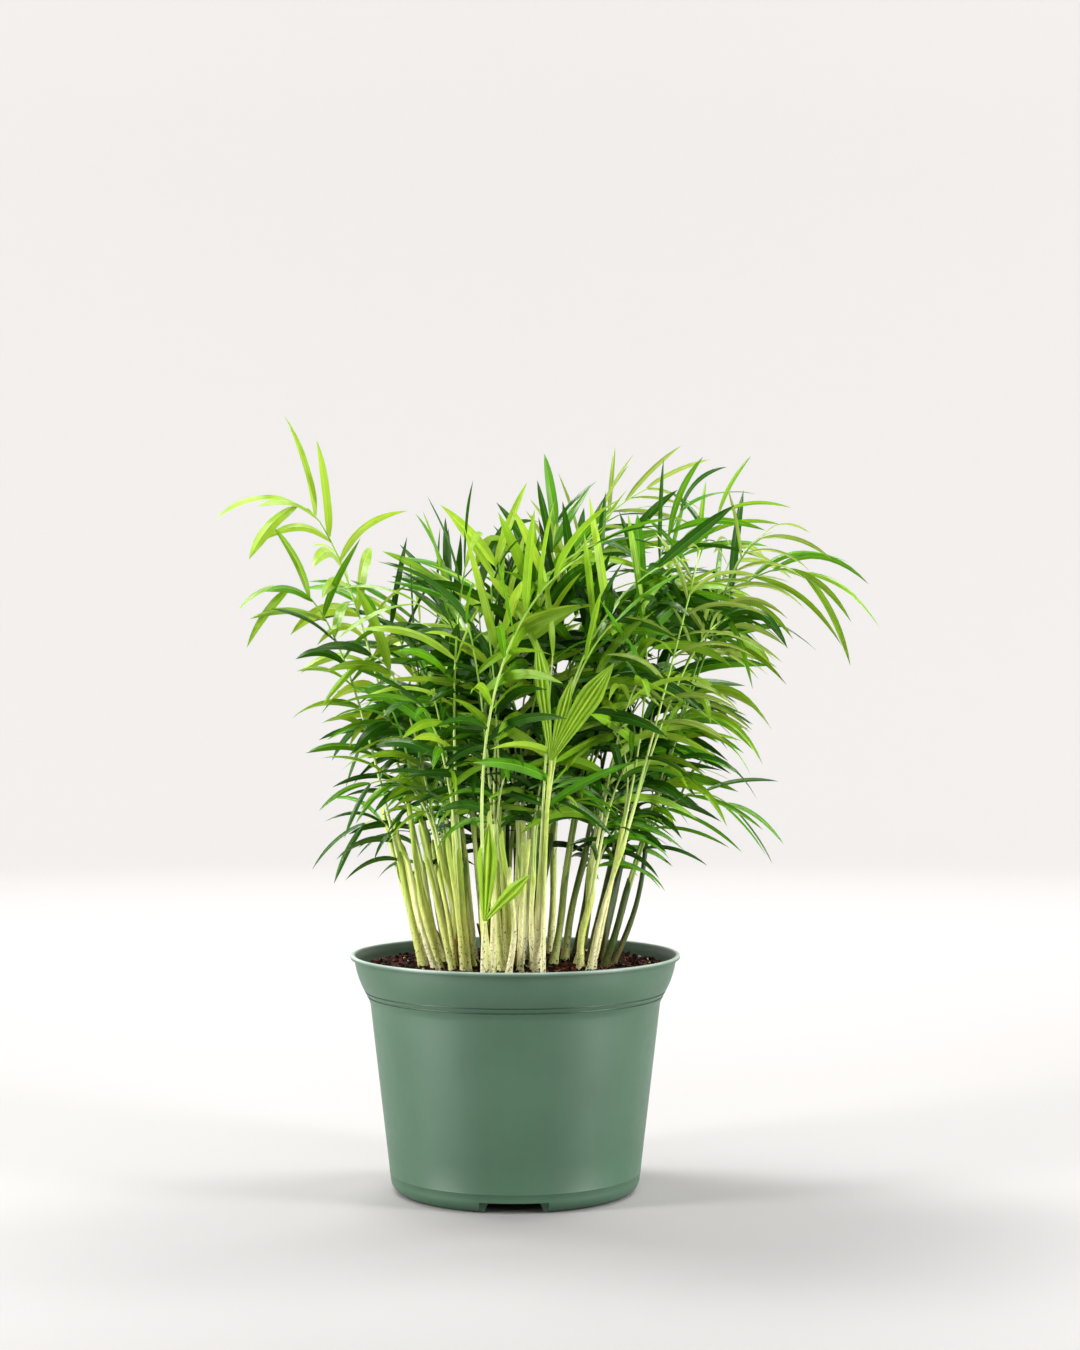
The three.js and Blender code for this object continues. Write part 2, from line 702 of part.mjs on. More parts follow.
function placeRibs(plans, thicket) {
  return plans.map((plan) => {
    const tries = BOWS.map((bow) => shapeFrond(plan, bow));
    const own = (owner) => owner.seedling === plan.seedling;
    const free = tries.find((shape) => !ribBodies(shape).some((body) => thicket.blocks(body, own)));
    if (!free) return null;
    ribBodies(free).forEach((body) => thicket.add(plan, body));
    return free;
  });
}

function placeLeaflets(shape, thicket) {
  shape.leaflets = new Map();
  const own = (owner) => owner === shape.plan;
  const diamonds = [];
  const bodies = [];
  const fits = (leaflet, body, diamond) =>
    leaflet.tip.z > POT_HEIGHT + RIM_CLEARANCE &&
    !thicket.blocks(body, own) &&
    !diamonds.some((other) => edgesPierce(diamond, other) || edgesPierce(other, diamond));
  for (const ring of ringPlaces(shape).filter(({ pair }) => pair !== undefined)) {
    for (const hand of [1, -1]) {
      for (const lift of LIFTS) {
        const leaflet = shapeLeaflet(shape, ring, hand, lift);
        const body = leafletBody(shape, ring, leaflet, hand);
        const diamond = leafletDiamond(leaflet);
        if (!fits(leaflet, body, diamond)) continue;
        diamonds.push(diamond);
        bodies.push(body);
        shape.leaflets.set(`${ring.pair} ${hand}`, leaflet);
        break;
      }
    }
  }
  bodies.forEach((body) => thicket.add(shape.plan, body));
}

// One solid of several surfaces, without the scraps and sealed hollows that fusing leaves.
function joined(surfaces) {
  return surfaces
    .map((surface) => toManifold(surface.geometry()))
    .reduce((whole, piece) => whole.add(piece))
    .decompose()
    .reduce((largest, body) => (body.volume() > largest.volume() ? body : largest));
}

// Assembly

const potPlastic = new THREE.MeshStandardMaterial({ color: 0x5f7f66, roughness: 0.42 });
const barkAndPeat = new THREE.MeshStandardMaterial({ color: 0x3a2219, roughness: 0.95 });
const sheath = new THREE.MeshStandardMaterial({ color: 0xcfdc95, roughness: 0.5 });
const leaf = new THREE.MeshStandardMaterial({ color: 0x3f8a1c, roughness: 0.45 });

const palm = new THREE.Group();

function addPiece(name, geometry, material) {
  const mesh = new THREE.Mesh(geometry, material);
  mesh.name = name;
  palm.add(mesh);
}

addPiece("pot", makePot(), potPlastic);
addPiece("potting_mix", makePottingMix(), barkAndPeat);

const seedlings = Array.from({ length: SEEDLINGS }, (_, index) => makeSeedling(index));
const plans = planFronds(seedlings);
const thicket = new Thicket();
for (const seedling of seedlings) {
  const owner = { seedling };
  thicket.add(owner, surfaceTriangles(stemSurface(seedling)));
  thicket.add(owner, surfaceTriangles(hubSurface(seedling)));
}
const shapes = placeRibs(plans, thicket).filter((shape) => shape);
shapes.forEach((shape) => placeLeaflets(shape, thicket));

seedlings.forEach((seedling, index) => {
  const number = String(index + 1).padStart(2, "0");
  const grown = shapes.filter(({ plan }) => plan.seedling === seedling);
  addPiece(`stem_${number}`, stemSurface(seedling).geometry(), sheath);
  const fronds = joined([hubSurface(seedling), ...grown.map(frondSurface)]);
  addPiece(`fronds_${number}`, toGeometry(fronds), leaf);
});

export default palm;
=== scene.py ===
import math
import random

import bmesh
import bpy
from mathutils import Matrix, Vector
from mathutils import noise as perlin


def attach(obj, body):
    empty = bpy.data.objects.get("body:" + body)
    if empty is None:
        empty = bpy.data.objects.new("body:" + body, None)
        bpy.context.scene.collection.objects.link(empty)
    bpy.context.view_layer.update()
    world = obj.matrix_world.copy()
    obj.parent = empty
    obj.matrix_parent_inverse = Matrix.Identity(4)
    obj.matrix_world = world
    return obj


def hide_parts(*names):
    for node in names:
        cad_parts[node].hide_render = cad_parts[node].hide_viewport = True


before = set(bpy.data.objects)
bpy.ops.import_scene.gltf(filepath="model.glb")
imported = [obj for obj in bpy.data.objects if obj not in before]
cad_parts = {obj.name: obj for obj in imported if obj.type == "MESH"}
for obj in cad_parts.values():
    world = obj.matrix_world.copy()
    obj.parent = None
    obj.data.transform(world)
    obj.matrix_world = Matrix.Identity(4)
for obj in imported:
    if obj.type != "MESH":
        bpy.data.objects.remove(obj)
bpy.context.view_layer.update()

# The pot
# A stock nursery pot of grey-green polypropylene, injection-moulded in one piece: a drafted wall, a
# collar that flares above two fine grooves, a thin flat lip, and a foot ring that three notches open
# to the drain channel under the floor.

MM = 0.001  # sizes are given in millimetres, and a mesh is made in metres
POT_HEIGHT = 145
LIP_RADIUS = 101.5
LIP_HEIGHT = 2.6
LIP_ROUND = 0.8
WALL = 1.7
WALL_FOOT_RADIUS = 76.8
WALL_DRAFT = 0.1163
SHOULDER_HEIGHT = 117
GROOVES = ((120.0, 91.2), (123.0, 92.9))
GROOVE_WIDTH = 1.0
GROOVE_DEPTH = 0.9
COLLAR_FOOT = (93.4, 124.0)
COLLAR_BEND = (97.5, 131.6)
COLLAR_TOP = (99.2, 142.4)
MOULD_LINE_HEIGHT = 12
MOULD_LINE = 0.16
FOOT_FILLET = 8
FOOT_RING_WIDTH = 11
FOOT_CHAMFER = 0.5
PAD_CHAMFER = 0.6
FLOOR_CLEARANCE = 6.8
FLOOR_RADIUS = 72.3
INNER_BEND_HEIGHT = 14
CENTRE_PAD_RADIUS = 22
CHANNEL_DRAFT = 2
NOTCHES = 3
NOTCH_WIDTH = 41
NOTCH_TUNNEL = 29
NOTCH_TUNNEL_FOOT = 36
NOTCH_TUNNEL_HEIGHT = 6.1
NOTCH_TUNNEL_LENGTH = 22
NOTCH_FACE_RADIUS = 70
NOTCH_INNER_RADIUS = 52
DRAIN_HOLES = 6
DRAIN_HOLE_RADIUS = 5
DRAIN_CIRCLE_RADIUS = 42
POT_SIDES = 240

POT_GREEN = "#31563D"
POT_GREEN_PALE = "#3A6047"
# A painted highlight: the pale grey painted in patches onto the top of the lip, and how far down it reaches.
LIP_PAINTED_HIGHLIGHT = "#AEBDB2"
LIP_HIGHLIGHT_HEIGHT = 1.4
POLYPROPYLENE_IOR = 1.72  # above the plastic's own 1.49, to match the grey bands that the lights lay on it
SATIN = (0.42, 0.52)
STREAK_WIDTH = 18
CLOUD_WIDTH = 45
SCUFF_WIDTH = 6
MOULD_GRAIN = 0.7
MOULD_GRAIN_DEPTH = 0.05


def linear(colour):
    """An sRGB hex colour as linear red, green, blue and alpha."""
    parts = [int(colour[i:i + 2], 16) / 255 for i in (1, 3, 5)]
    return [c / 12.92 if c <= 0.04045 else ((c + 0.055) / 1.055) ** 2.4 for c in parts] + [1.0]


def add(tree, kind, settings=None, values=(), **inputs):
    """Adds a node. Settings are its properties. Inputs go in order or by name.

    An input takes a value, a socket or a node, which stands for its first output.
    """
    made = tree.nodes.new("ShaderNode" + kind)
    for name, value in (settings or {}).items():
        if name == "ramp":
            while len(made.color_ramp.elements) < len(value):
                made.color_ramp.elements.new(0.5)
            for element, (position, colour) in zip(made.color_ramp.elements, value):
                element.position = position
                element.color = colour
        else:
            setattr(made, name, value)
    pairs = list(zip(made.inputs, values))
    for name, value in inputs.items():
        pairs.append((next(s for s in made.inputs if s.name == name.replace("_", " ") and s.enabled), value))
    for socket, value in pairs:
        if isinstance(value, bpy.types.Node):
            value = next(s for s in value.outputs if s.enabled)
        if isinstance(value, bpy.types.NodeSocket):
            tree.links.new(value, socket)
        else:
            socket.default_value = value
    return made


def new_material(name):
    """An empty material, with its node tree."""
    made = bpy.data.materials.new(name)
    made.use_nodes = True
    made.node_tree.nodes.clear()
    return made, made.node_tree


def moulded_polypropylene():
    """Satin plastic straight from the mould: faint flow streaks, a very fine grain, and a painted highlight
    in patches along the top of the lip.
    """
    made, tree = new_material("moulded polypropylene")
    place = add(tree, "TexCoord").outputs["Object"]
    tall = add(tree, "Mapping", Vector=place, Scale=(1, 1, 0.12))
    streaks = add(tree, "TexNoise", Vector=tall, Scale=1 / (STREAK_WIDTH * MM), Detail=3)
    cloud = add(tree, "TexNoise", Vector=place, Scale=1 / (CLOUD_WIDTH * MM), Detail=4)
    grain = add(tree, "TexNoise", Vector=place, Scale=1 / (MOULD_GRAIN * MM), Detail=2)
    scuffs = add(tree, "TexNoise", Vector=place, Scale=1 / (SCUFF_WIDTH * MM), Detail=6, Roughness=0.7)
    mixed = add(tree, "Math", {"operation": "MULTIPLY_ADD"}, values=(streaks, 0.5, cloud))
    shades = [(0.45, linear(POT_GREEN)), (1.0, linear(POT_GREEN_PALE))]
    colour = add(tree, "ValToRGB", {"ramp": shades}, Fac=mixed)
    height = add(tree, "SeparateXYZ", Vector=place).outputs["Z"]
    # Painted highlight: the top of the lip is painted pale grey in patches, where the rim catches the lights.
    edge = add(tree, "MapRange", Value=height, From_Min=(POT_HEIGHT - LIP_HIGHLIGHT_HEIGHT) * MM,
               From_Max=POT_HEIGHT * MM, To_Min=0.0, To_Max=1.6)
    lip_highlight = add(tree, "Math", {"operation": "MULTIPLY", "use_clamp": True}, values=(edge, cloud))
    with_highlight = add(tree, "Mix", {"data_type": "RGBA"}, Factor=lip_highlight, A=colour, B=linear(LIP_PAINTED_HIGHLIGHT))
    gloss = add(tree, "MapRange", Value=scuffs, From_Min=0.35, From_Max=0.75,
                To_Min=SATIN[0], To_Max=SATIN[1])
    relief = add(tree, "Bump", Height=grain, Strength=0.14, Distance=MOULD_GRAIN_DEPTH * MM)
    shader = add(tree, "BsdfPrincipled", Base_Color=with_highlight, IOR=POLYPROPYLENE_IOR, Roughness=gloss,
                 Normal=relief)
    add(tree, "OutputMaterial", Surface=shader)
    return made


def wall_radius(height):
    """Outer radius of the drafted wall at a height."""
    return WALL_FOOT_RADIUS + WALL_DRAFT * (height - FOOT_FILLET)


def arc(centre, radius, start, end, steps):
    """Points of an arc in a section, from one angle to another in degrees."""
    angles = [math.radians(start + (end - start) * i / steps) for i in range(steps + 1)]
    return [(centre[0] + radius * math.cos(a), centre[1] + radius * math.sin(a)) for a in angles]


def bend(start, middle, end, steps):
    """Points of a smooth bend through a section, without its first one."""
    points = []
    for i in range(1, steps + 1):
        t = i / steps
        weights = ((1 - t) ** 2, 2 * t * (1 - t), t * t)
        points.append(tuple(sum(w * p[k] for w, p in zip(weights, (start, middle, end))) for k in (0, 1)))
    return points


def pot_section():
    """The pot's wall as (radius, height), from the axis of its underside round to the axis of its floor."""
    ring_outer = WALL_FOOT_RADIUS - FOOT_FILLET
    ring_inner = ring_outer - FOOT_RING_WIDTH
    section = [(0, 0), (CENTRE_PAD_RADIUS - PAD_CHAMFER, 0), (CENTRE_PAD_RADIUS, PAD_CHAMFER)]
    section += [(CENTRE_PAD_RADIUS + CHANNEL_DRAFT, FLOOR_CLEARANCE)]
    section += [(ring_inner - CHANNEL_DRAFT, FLOOR_CLEARANCE)]
    section += [(ring_inner, FOOT_CHAMFER), (ring_inner + FOOT_CHAMFER, 0)]
    section += arc((ring_outer, FOOT_FILLET), FOOT_FILLET, -90, 0, 12)
    line = MOULD_LINE_HEIGHT
    section += [(wall_radius(line - 0.5), line - 0.5), (wall_radius(line) + MOULD_LINE, line - 0.2)]
    section += [(wall_radius(line) + MOULD_LINE, line + 0.2), (wall_radius(line + 0.6), line + 0.6)]
    section += [(wall_radius(h), h) for h in (30, 50, 70, 90, 106, SHOULDER_HEIGHT - 2.5)]
    shoulder = (wall_radius(SHOULDER_HEIGHT) + 0.1, SHOULDER_HEIGHT)
    section += bend(section[-1], shoulder, (GROOVES[0][1], GROOVES[0][0] - GROOVE_WIDTH / 2), 6)
    for height, radius in GROOVES:
        half = GROOVE_WIDTH / 2
        section += [(radius - 0.12, height - half + 0.1), (radius - GROOVE_DEPTH, height - half + 0.25)]
        section += [(radius - GROOVE_DEPTH, height + half - 0.25), (radius + 0.1, height + half - 0.1)]
        section += [(radius + 0.35, height + half + 0.15)]
    section += [COLLAR_FOOT]
    section += bend(COLLAR_FOOT, COLLAR_BEND, COLLAR_TOP, 14)
    under = POT_HEIGHT - LIP_HEIGHT + 0.25
    section += [(COLLAR_TOP[0] + 0.35, under - 0.03), (LIP_RADIUS - 0.9, under)]
    section += arc((LIP_RADIUS - 0.5, under + 0.5), 0.5, -90, 0, 4)
    section += arc((LIP_RADIUS - LIP_ROUND, POT_HEIGHT - LIP_ROUND), LIP_ROUND, 0, 90, 5)
    section += arc((COLLAR_TOP[0] + 0.5, POT_HEIGHT - LIP_ROUND), LIP_ROUND, 90, 165, 5)
    inner = (COLLAR_TOP[0] - WALL, COLLAR_TOP[1] - 0.8)
    inner_bend = (COLLAR_BEND[0] - WALL, COLLAR_BEND[1])
    inner_foot = (COLLAR_FOOT[0] - WALL, COLLAR_FOOT[1])
    section += [inner]
    section += bend(inner, inner_bend, inner_foot, 10)
    section += [(wall_radius(h) - WALL, h) for h in (SHOULDER_HEIGHT, 80, 45, INNER_BEND_HEIGHT)]
    section += [(FLOOR_RADIUS, FLOOR_CLEARANCE + WALL), (0, FLOOR_CLEARANCE + WALL)]
    return section


def lathe(section, sides):
    """Points and faces of a section turned about the vertical axis."""
    points, rings, faces = [], [], []
    for radius, height in section:
        count = sides if radius > 0 else 1
        rings.append(list(range(len(points), len(points) + count)))
        for k in range(count):
            turn = 2 * math.pi * k / sides
            points.append((radius * math.cos(turn), radius * math.sin(turn), height))
    for lower, upper in zip(rings, rings[1:]):
        for k in range(sides):
            around = ((lower, k), (lower, k + 1), (upper, k + 1), (upper, k))
            corners = [ring[j % len(ring)] for ring, j in around]
            faces.append(list(dict.fromkeys(corners)))
    return points, faces


def piece(name, points, faces, material, sharp=None, places=None):
    """A mesh object from points in millimetres. Edges that turn more than sharp degrees stay sharp.

    places gives each point its place on a blade, across and along, for the material to read.
    """
    mesh = bpy.data.meshes.new(name)
    mesh.from_pydata([Vector(p) * MM for p in points], [], faces)
    mesh.materials.append(material)
    if places:
        layer = mesh.uv_layers.new(name="place on the blade")
        layer.uv.foreach_set("vector", [c for loop in mesh.loops for c in places[loop.vertex_index]])
    if sharp is not None:
        mesh.shade_smooth()
        mesh.set_sharp_from_angle(angle=math.radians(sharp))
    made = bpy.data.objects.new(name, mesh)
    bpy.context.scene.collection.objects.link(made)
    return made


def prism(outline, low, high, place):
    """A flat outline drawn up from one height to another, then turned into place."""
    count = len(outline)
    points = [place @ Vector((x, y, z)) for z in (low, high) for x, y in outline]
    sides = [[k, (k + 1) % count, count + (k + 1) % count, count + k] for k in range(count)]
    return points, sides + [list(range(count))[::-1], list(range(count, 2 * count))]


class Heap:
    """Points and faces of many like things, gathered to become one mesh."""

    def __init__(self):
        self.points = []
        self.faces = []
        self.places = []

    def add(self, points, faces, places=()):
        start = len(self.points)
        self.points += points
        self.faces += [[start + corner for corner in face] for face in faces]
        self.places += places

    def piece(self, name, material, sharp=None):
        return piece(name, self.points, self.faces, material, sharp, self.places)


def cut(target, cutter):
    """Takes a cutter's solids out of an object."""
    modifier = target.modifiers.new("cut", "BOOLEAN")
    modifier.object = cutter
    modifier.solver = "EXACT"
    view = bpy.context.evaluated_depsgraph_get()
    whole = bpy.data.meshes.new_from_object(target.evaluated_get(view))
    target.modifiers.clear()
    target.data = whole
    bpy.data.objects.remove(cutter)


def make_pot(material):
    """The turned pot, with the foot notches, their tunnels and the drain holes cut out of it."""
    pot = piece("nursery_pot", *lathe(pot_section(), POT_SIDES), material)
    faces = bmesh.new()
    faces.from_mesh(pot.data)
    bmesh.ops.recalc_face_normals(faces, faces=faces.faces)
    faces.to_mesh(pot.data)
    faces.free()
    pockets, tunnels = Heap(), Heap()
    half, top, foot = NOTCH_WIDTH / 2, NOTCH_TUNNEL / 2, NOTCH_TUNNEL_FOOT / 2
    ceiling = NOTCH_TUNNEL_HEIGHT
    pocket = [(NOTCH_FACE_RADIUS, -half), (LIP_RADIUS, -half)]
    pocket += [(radius, -side) for radius, side in reversed(pocket)]
    # One side of the tunnel from the floor up, with its round corner, then the other side.
    tunnel = [(1, foot), (-1.5, foot - 0.7), (1.5 - ceiling, top + 1.4), (0.5 - ceiling, top + 0.5)]
    tunnel += [(-ceiling, top - 1)]
    tunnel += [(depth, -side) for depth, side in reversed(tunnel)]
    lying = Matrix.Rotation(math.pi / 2, 4, "Y")
    for i in range(NOTCHES):
        place = Matrix.Rotation(-math.pi / 2 + i * 2 * math.pi / NOTCHES, 4, "Z")
        inner = place @ Matrix.Translation((NOTCH_INNER_RADIUS, 0, 0))
        pockets.add(*prism(pocket, -1, FLOOR_CLEARANCE, place))
        tunnels.add(*prism(tunnel, 0, NOTCH_TUNNEL_LENGTH, inner @ lying))
    for i in range(DRAIN_HOLES):
        turn = (i + 0.5) * 2 * math.pi / DRAIN_HOLES
        centre = (DRAIN_CIRCLE_RADIUS * math.cos(turn), DRAIN_CIRCLE_RADIUS * math.sin(turn))
        tunnels.add(*prism(arc(centre, DRAIN_HOLE_RADIUS, 0, 345, 23), 3, 12, Matrix.Identity(4)))
    for heap in (pockets, tunnels):
        cut(pot, heap.piece("cutter", material))
    pot.data.shade_smooth()
    pot.data.set_sharp_from_angle(angle=math.radians(32))
    return pot


def belong(made, slot, *nodes):
    """Fixes a piece to the plant's one body, and hides the solids that it stands for. The slot is not used.
    """
    if nodes:
        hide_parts(*nodes)
    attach(made, "root")


belong(make_pot(moulded_polypropylene()), "pot", "pot")

# The potting mix
# Moist composted bark and peat with a few grains of perlite, filled by hand to a finger's width below
# the lip and a little mounded round the stems. The crumbs lie loose, so the surface is rough and dark.

MIX_EDGE_HEIGHT = 136
MIX_RADIUS = 95.9
MIX_MOUND = 4
MIX_TOP = MIX_EDGE_HEIGHT + MIX_MOUND
MIX_RELIEF = 1.3
MIX_GRID = 1.6
MIX_SIDES = 220
MIX_WALL = ((91.2, 124), (86.9, 112), (75.0, 16), (71.5, 9.2))  # radius and height, just inside the pot
LUMP_SIZE = 5
SWELL_SIZE = 22
CRUMBS = 3600
CRUMB_SIZES = (1.6, 5.2)
CRUMB_WIDTHS = (0.35, 0.8)
CRUMB_DEPTHS = (0.2, 0.45)
CRUMB_TILT = 0.5
FIBRES = 170
FIBRE_LENGTHS = (5, 11)
FIBRE_SECTION = (0.45, 0.4)
PERLITE_GRAINS = 52
PERLITE_SIZES = (1.2, 2.8)

BARK_BROWN = "#35190F"
BARK_RED = "#783A2E"
PEAT_BLACK = "#080302"
PERLITE_WHITE = "#C8B8A4"
FIBRE_TAN = "#9C7456"
# The finish of each kind of loose piece: its material, its dark and its pale colour, and its patches' size.
CRUMB_FINISHES = {
    "crumbs_bark_brown": ("composted bark", "#140905", BARK_BROWN, 1.5),
    "crumbs_bark_red": ("fresh bark", "#28110B", BARK_RED, 1.5),
    "crumbs_peat_black": ("wet peat", "#060302", PEAT_BLACK, 1.5),
    "coir_fibres": ("coir", "#5A3E28", FIBRE_TAN, 1),
    "perlite_grains": ("expanded perlite", "#B7A796", PERLITE_WHITE, 0.8),
}
BARK_SHARES = {"crumbs_bark_brown": 5, "crumbs_bark_red": 2.4, "crumbs_peat_black": 3.4}


def mix_height(radius):
    """Height of the mix's low mound at a distance from the middle."""
    share = radius / MIX_RADIUS
    return MIX_EDGE_HEIGHT + MIX_MOUND * (1 - share * share)


def mix_surface(x, y):
    """Height of the mix's rough surface at a place."""
    rough = perlin.fractal(Vector((x, y, 3)) / LUMP_SIZE, 0.9, 2.1, 4)
    low = perlin.noise(Vector((x, y, 9)) / SWELL_SIZE)
    return mix_height(min(math.hypot(x, y), MIX_RADIUS)) + MIX_RELIEF * (rough + 0.8 * low)


def crumbly(name, dark, pale, size):
    """Damp, unpolished crumbs: dark where they are wet, paler on the dry crests, with next to no gloss."""
    made, tree = new_material(name)
    place = add(tree, "TexCoord").outputs["Object"]
    patches = add(tree, "TexNoise", Vector=place, Scale=1 / (size * MM), Detail=5, Roughness=0.65)
    colour = add(tree, "ValToRGB", {"ramp": [(0.36, linear(dark)), (0.66, linear(pale))]}, Fac=patches)
    wet = add(tree, "MapRange", Value=patches, From_Min=0.3, From_Max=0.7, To_Min=0.5, To_Max=0.95)
    relief = add(tree, "Bump", Height=patches, Strength=0.6, Distance=0.4 * MM)
    shader = add(tree, "BsdfPrincipled", Base_Color=colour, IOR=1.2, Roughness=wet, Normal=relief)
    add(tree, "OutputMaterial", Surface=shader)
    return made


def weave(rows, columns, closed=False):
    """Faces that join rows of points, of so many columns each. Closed rows are rings."""
    faces = []
    for start in range(0, (rows - 1) * columns, columns):
        for k in range(columns if closed else columns - 1):
            after = (k + 1) % columns
            faces.append([start + k, start + after, start + columns + after, start + columns + k])
    return faces


def make_mix_body(material):
    """The filled body of the mix, with a rough polar surface."""
    rings = int(MIX_RADIUS / MIX_GRID)
    levels = [(MIX_RADIUS * ring / rings, None) for ring in range(1, rings + 1)] + list(MIX_WALL)
    points, faces = [(0, 0, mix_surface(0, 0))], []
    for radius, height in levels:
        for k in range(MIX_SIDES):
            turn = 2 * math.pi * k / MIX_SIDES
            x, y = radius * math.cos(turn), radius * math.sin(turn)
            points.append((x, y, mix_surface(x, y) if height is None else height))
    for k in range(MIX_SIDES):
        faces.append([0, 1 + k, 1 + (k + 1) % MIX_SIDES])
    for a, b, c, d in weave(len(levels), MIX_SIDES, closed=True):
        faces.append([1 + a, 1 + d, 1 + c, 1 + b])
    faces.append(list(range(len(points) - MIX_SIDES, len(points)))[::-1])
    return piece("potting_mix_body", points, faces, material, sharp=70)


def crumb(dice, length, width, depth):
    """One flake of bark: a box with every corner knocked about."""
    points = []
    for x in (-length / 2, length / 2):
        for y in (-width / 2, width / 2):
            for z in (-depth / 2, depth / 2):
                corner = (x * dice.uniform(0.55, 1.1), y * dice.uniform(0.5, 1.1), z * dice.uniform(0.6, 1.2))
                points.append(Vector(corner))
    faces = [[0, 1, 3, 2], [4, 6, 7, 5], [0, 4, 5, 1], [2, 3, 7, 6], [0, 2, 6, 4], [1, 5, 7, 3]]
    return points, faces


def strewn(dice, points, sink):
    """Turns a crumb at random and drops it on the mix."""
    radius = (MIX_RADIUS - 2) * math.sqrt(dice.random())
    turn = dice.uniform(0, 2 * math.pi)
    x, y = radius * math.cos(turn), radius * math.sin(turn)
    tilt = Matrix.Rotation(dice.gauss(0, CRUMB_TILT), 3, "X")
    tilt = tilt @ Matrix.Rotation(dice.gauss(0, CRUMB_TILT), 3, "Y")
    spin = Matrix.Rotation(dice.uniform(0, 2 * math.pi), 3, "Z")
    ground = Vector((x, y, mix_surface(x, y) + sink))
    return [ground + tilt @ (spin @ p) for p in points]


def make_crumbs():
    """Bark flakes in three browns, a few coir fibres and grains of perlite, each kind in its own heap."""
    dice = random.Random(7)
    heaps = {name: Heap() for name in CRUMB_FINISHES}
    for _ in range(CRUMBS):
        length = CRUMB_SIZES[0] + (CRUMB_SIZES[1] - CRUMB_SIZES[0]) * dice.random() ** 2.2
        width = length * dice.uniform(*CRUMB_WIDTHS)
        points, faces = crumb(dice, length, width, length * dice.uniform(*CRUMB_DEPTHS))
        kind = dice.choices(list(BARK_SHARES), weights=BARK_SHARES.values())[0]
        heaps[kind].add(strewn(dice, points, dice.uniform(-0.3, 1.1)), faces)
    for _ in range(FIBRES):
        points, faces = crumb(dice, dice.uniform(*FIBRE_LENGTHS), *FIBRE_SECTION)
        heaps["coir_fibres"].add(strewn(dice, points, dice.uniform(0.4, 1.4)), faces)
    for _ in range(PERLITE_GRAINS):
        size = dice.uniform(*PERLITE_SIZES)
        ball = bmesh.new()
        bmesh.ops.create_icosphere(ball, subdivisions=1, radius=size / 2)
        points = [v.co * dice.uniform(0.75, 1.15) for v in ball.verts]
        faces = [[v.index for v in f.verts] for f in ball.faces]
        ball.free()
        heaps["perlite_grains"].add(strewn(dice, points, size * 0.45), faces)
    return heaps


belong(make_mix_body(crumbly("damp peat", PEAT_BLACK, BARK_BROWN, 2.2)), "potting_mix", "potting_mix")
for name, heap in make_crumbs().items():
    belong(heap.piece(name, crumbly(*CRUMB_FINISHES[name])), "potting_mix")

# The seedlings and their stems
# Some thirty palm seedlings sown together, and younger shoots between them. What looks like a stem is a
# roll of pale leaf sheaths, one inside the other, each split at an oblique mouth where its leaf leaves.

SEEDLINGS = 29
CLUMP_RADIUS = 60
BASE_SPREAD = 2.5
BASE_TURN_SPREAD = 0.14
STEM_BASE_RADIUS = 2.3
STEM_TOP_RADIUS = 1.75
STEM_FLARE = 0.9
STEM_FLARE_HEIGHT = 9
STEM_BOW = 4.5
MOUTH_SWELL = 0.45
MOUTH_SWELL_LENGTH = 22
STEM_LENGTH = 62
STEM_LENGTH_SPREAD = 15
EDGE_STEM_DROP = 12
LEAN_AT_CENTRE = 2
LEAN_AT_EDGE = 13
LEAN_SPREAD = 2.5
LEAN_TURN_SPREAD = 0.35
GAP = 0.3
SUNK = 2
HUB_LENGTH = 9
SHEATH_SIDES = 12
# From the inner sheath out: how far up the stem its mouth stands, by how much that varies, how far it
# runs on into the stalks, how far out it lies, and how its mouth slants and opens.
SHEATHS = (
    dict(mouth=1.0, spread=0.0, past=HUB_LENGTH, stand_off=0.0, slant=4.5, opening=0.92),
    dict(mouth=0.72, spread=0.12, past=0, stand_off=0.14, slant=3.2, opening=1.02),
    dict(mouth=0.4, spread=0.12, past=0, stand_off=0.3, slant=3.2, opening=1.02),
)
LUMPS = 0.06
WITHERED_HEIGHTS = (14, 26)
WITHERED_STAND_OFF = (0.5, 1.4)
WITHERED_STEPS = 5
SHOOTS = 84
SHOOT_LENGTH = 84
SHOOT_LENGTH_SPREAD = 20
SHOOT_BASE_RADIUS = 1.7
SHOOT_TOP_RADIUS = 1.15
SHOOT_TURN = 1.1
CLUMP_GAP = (15, 41)  # no shoot stands between these, where light comes through between the stems

GOLDEN_ANGLE = math.pi * (3 - math.sqrt(5))
UP = Vector((0, 0, 1))
# The series of the noise, one for each trait, numbered as they were for the solids.
SERIES = {
    "base turn": 1, "base radius": 2, "lean": 3, "lean turn": 4, "stem length": 5,
    "shell": 11, "height": 12, "hang": 13, "roll": 21, "angle": 31, "leaflet": 32, "twist": 33,
    "tint": 41, "droop": 42, "width": 43, "wave": 44,
}

# Sheath colours from the foot up. Most stems are pale and those right of the middle greener. Stems behind are
# painted darker as painted shade, and many of those behind, and of a band to the right, a dark olive.
SHEATH_COLOURS = {
    "pale": ("#F8F4C8", "#F2F0AE", "#C6D86A"),
    "fresh": ("#F0F0B2", "#DAE07C", "#A4BE46"),
    "green": ("#C4C884", "#8A9A48", "#4A6A1E"),
    "olive": ("#6E6A3C", "#4A5A26", "#2C4A14"),
}
GREEN_SIDE = (8, 52, -30)  # greener from here to there across, and behind this
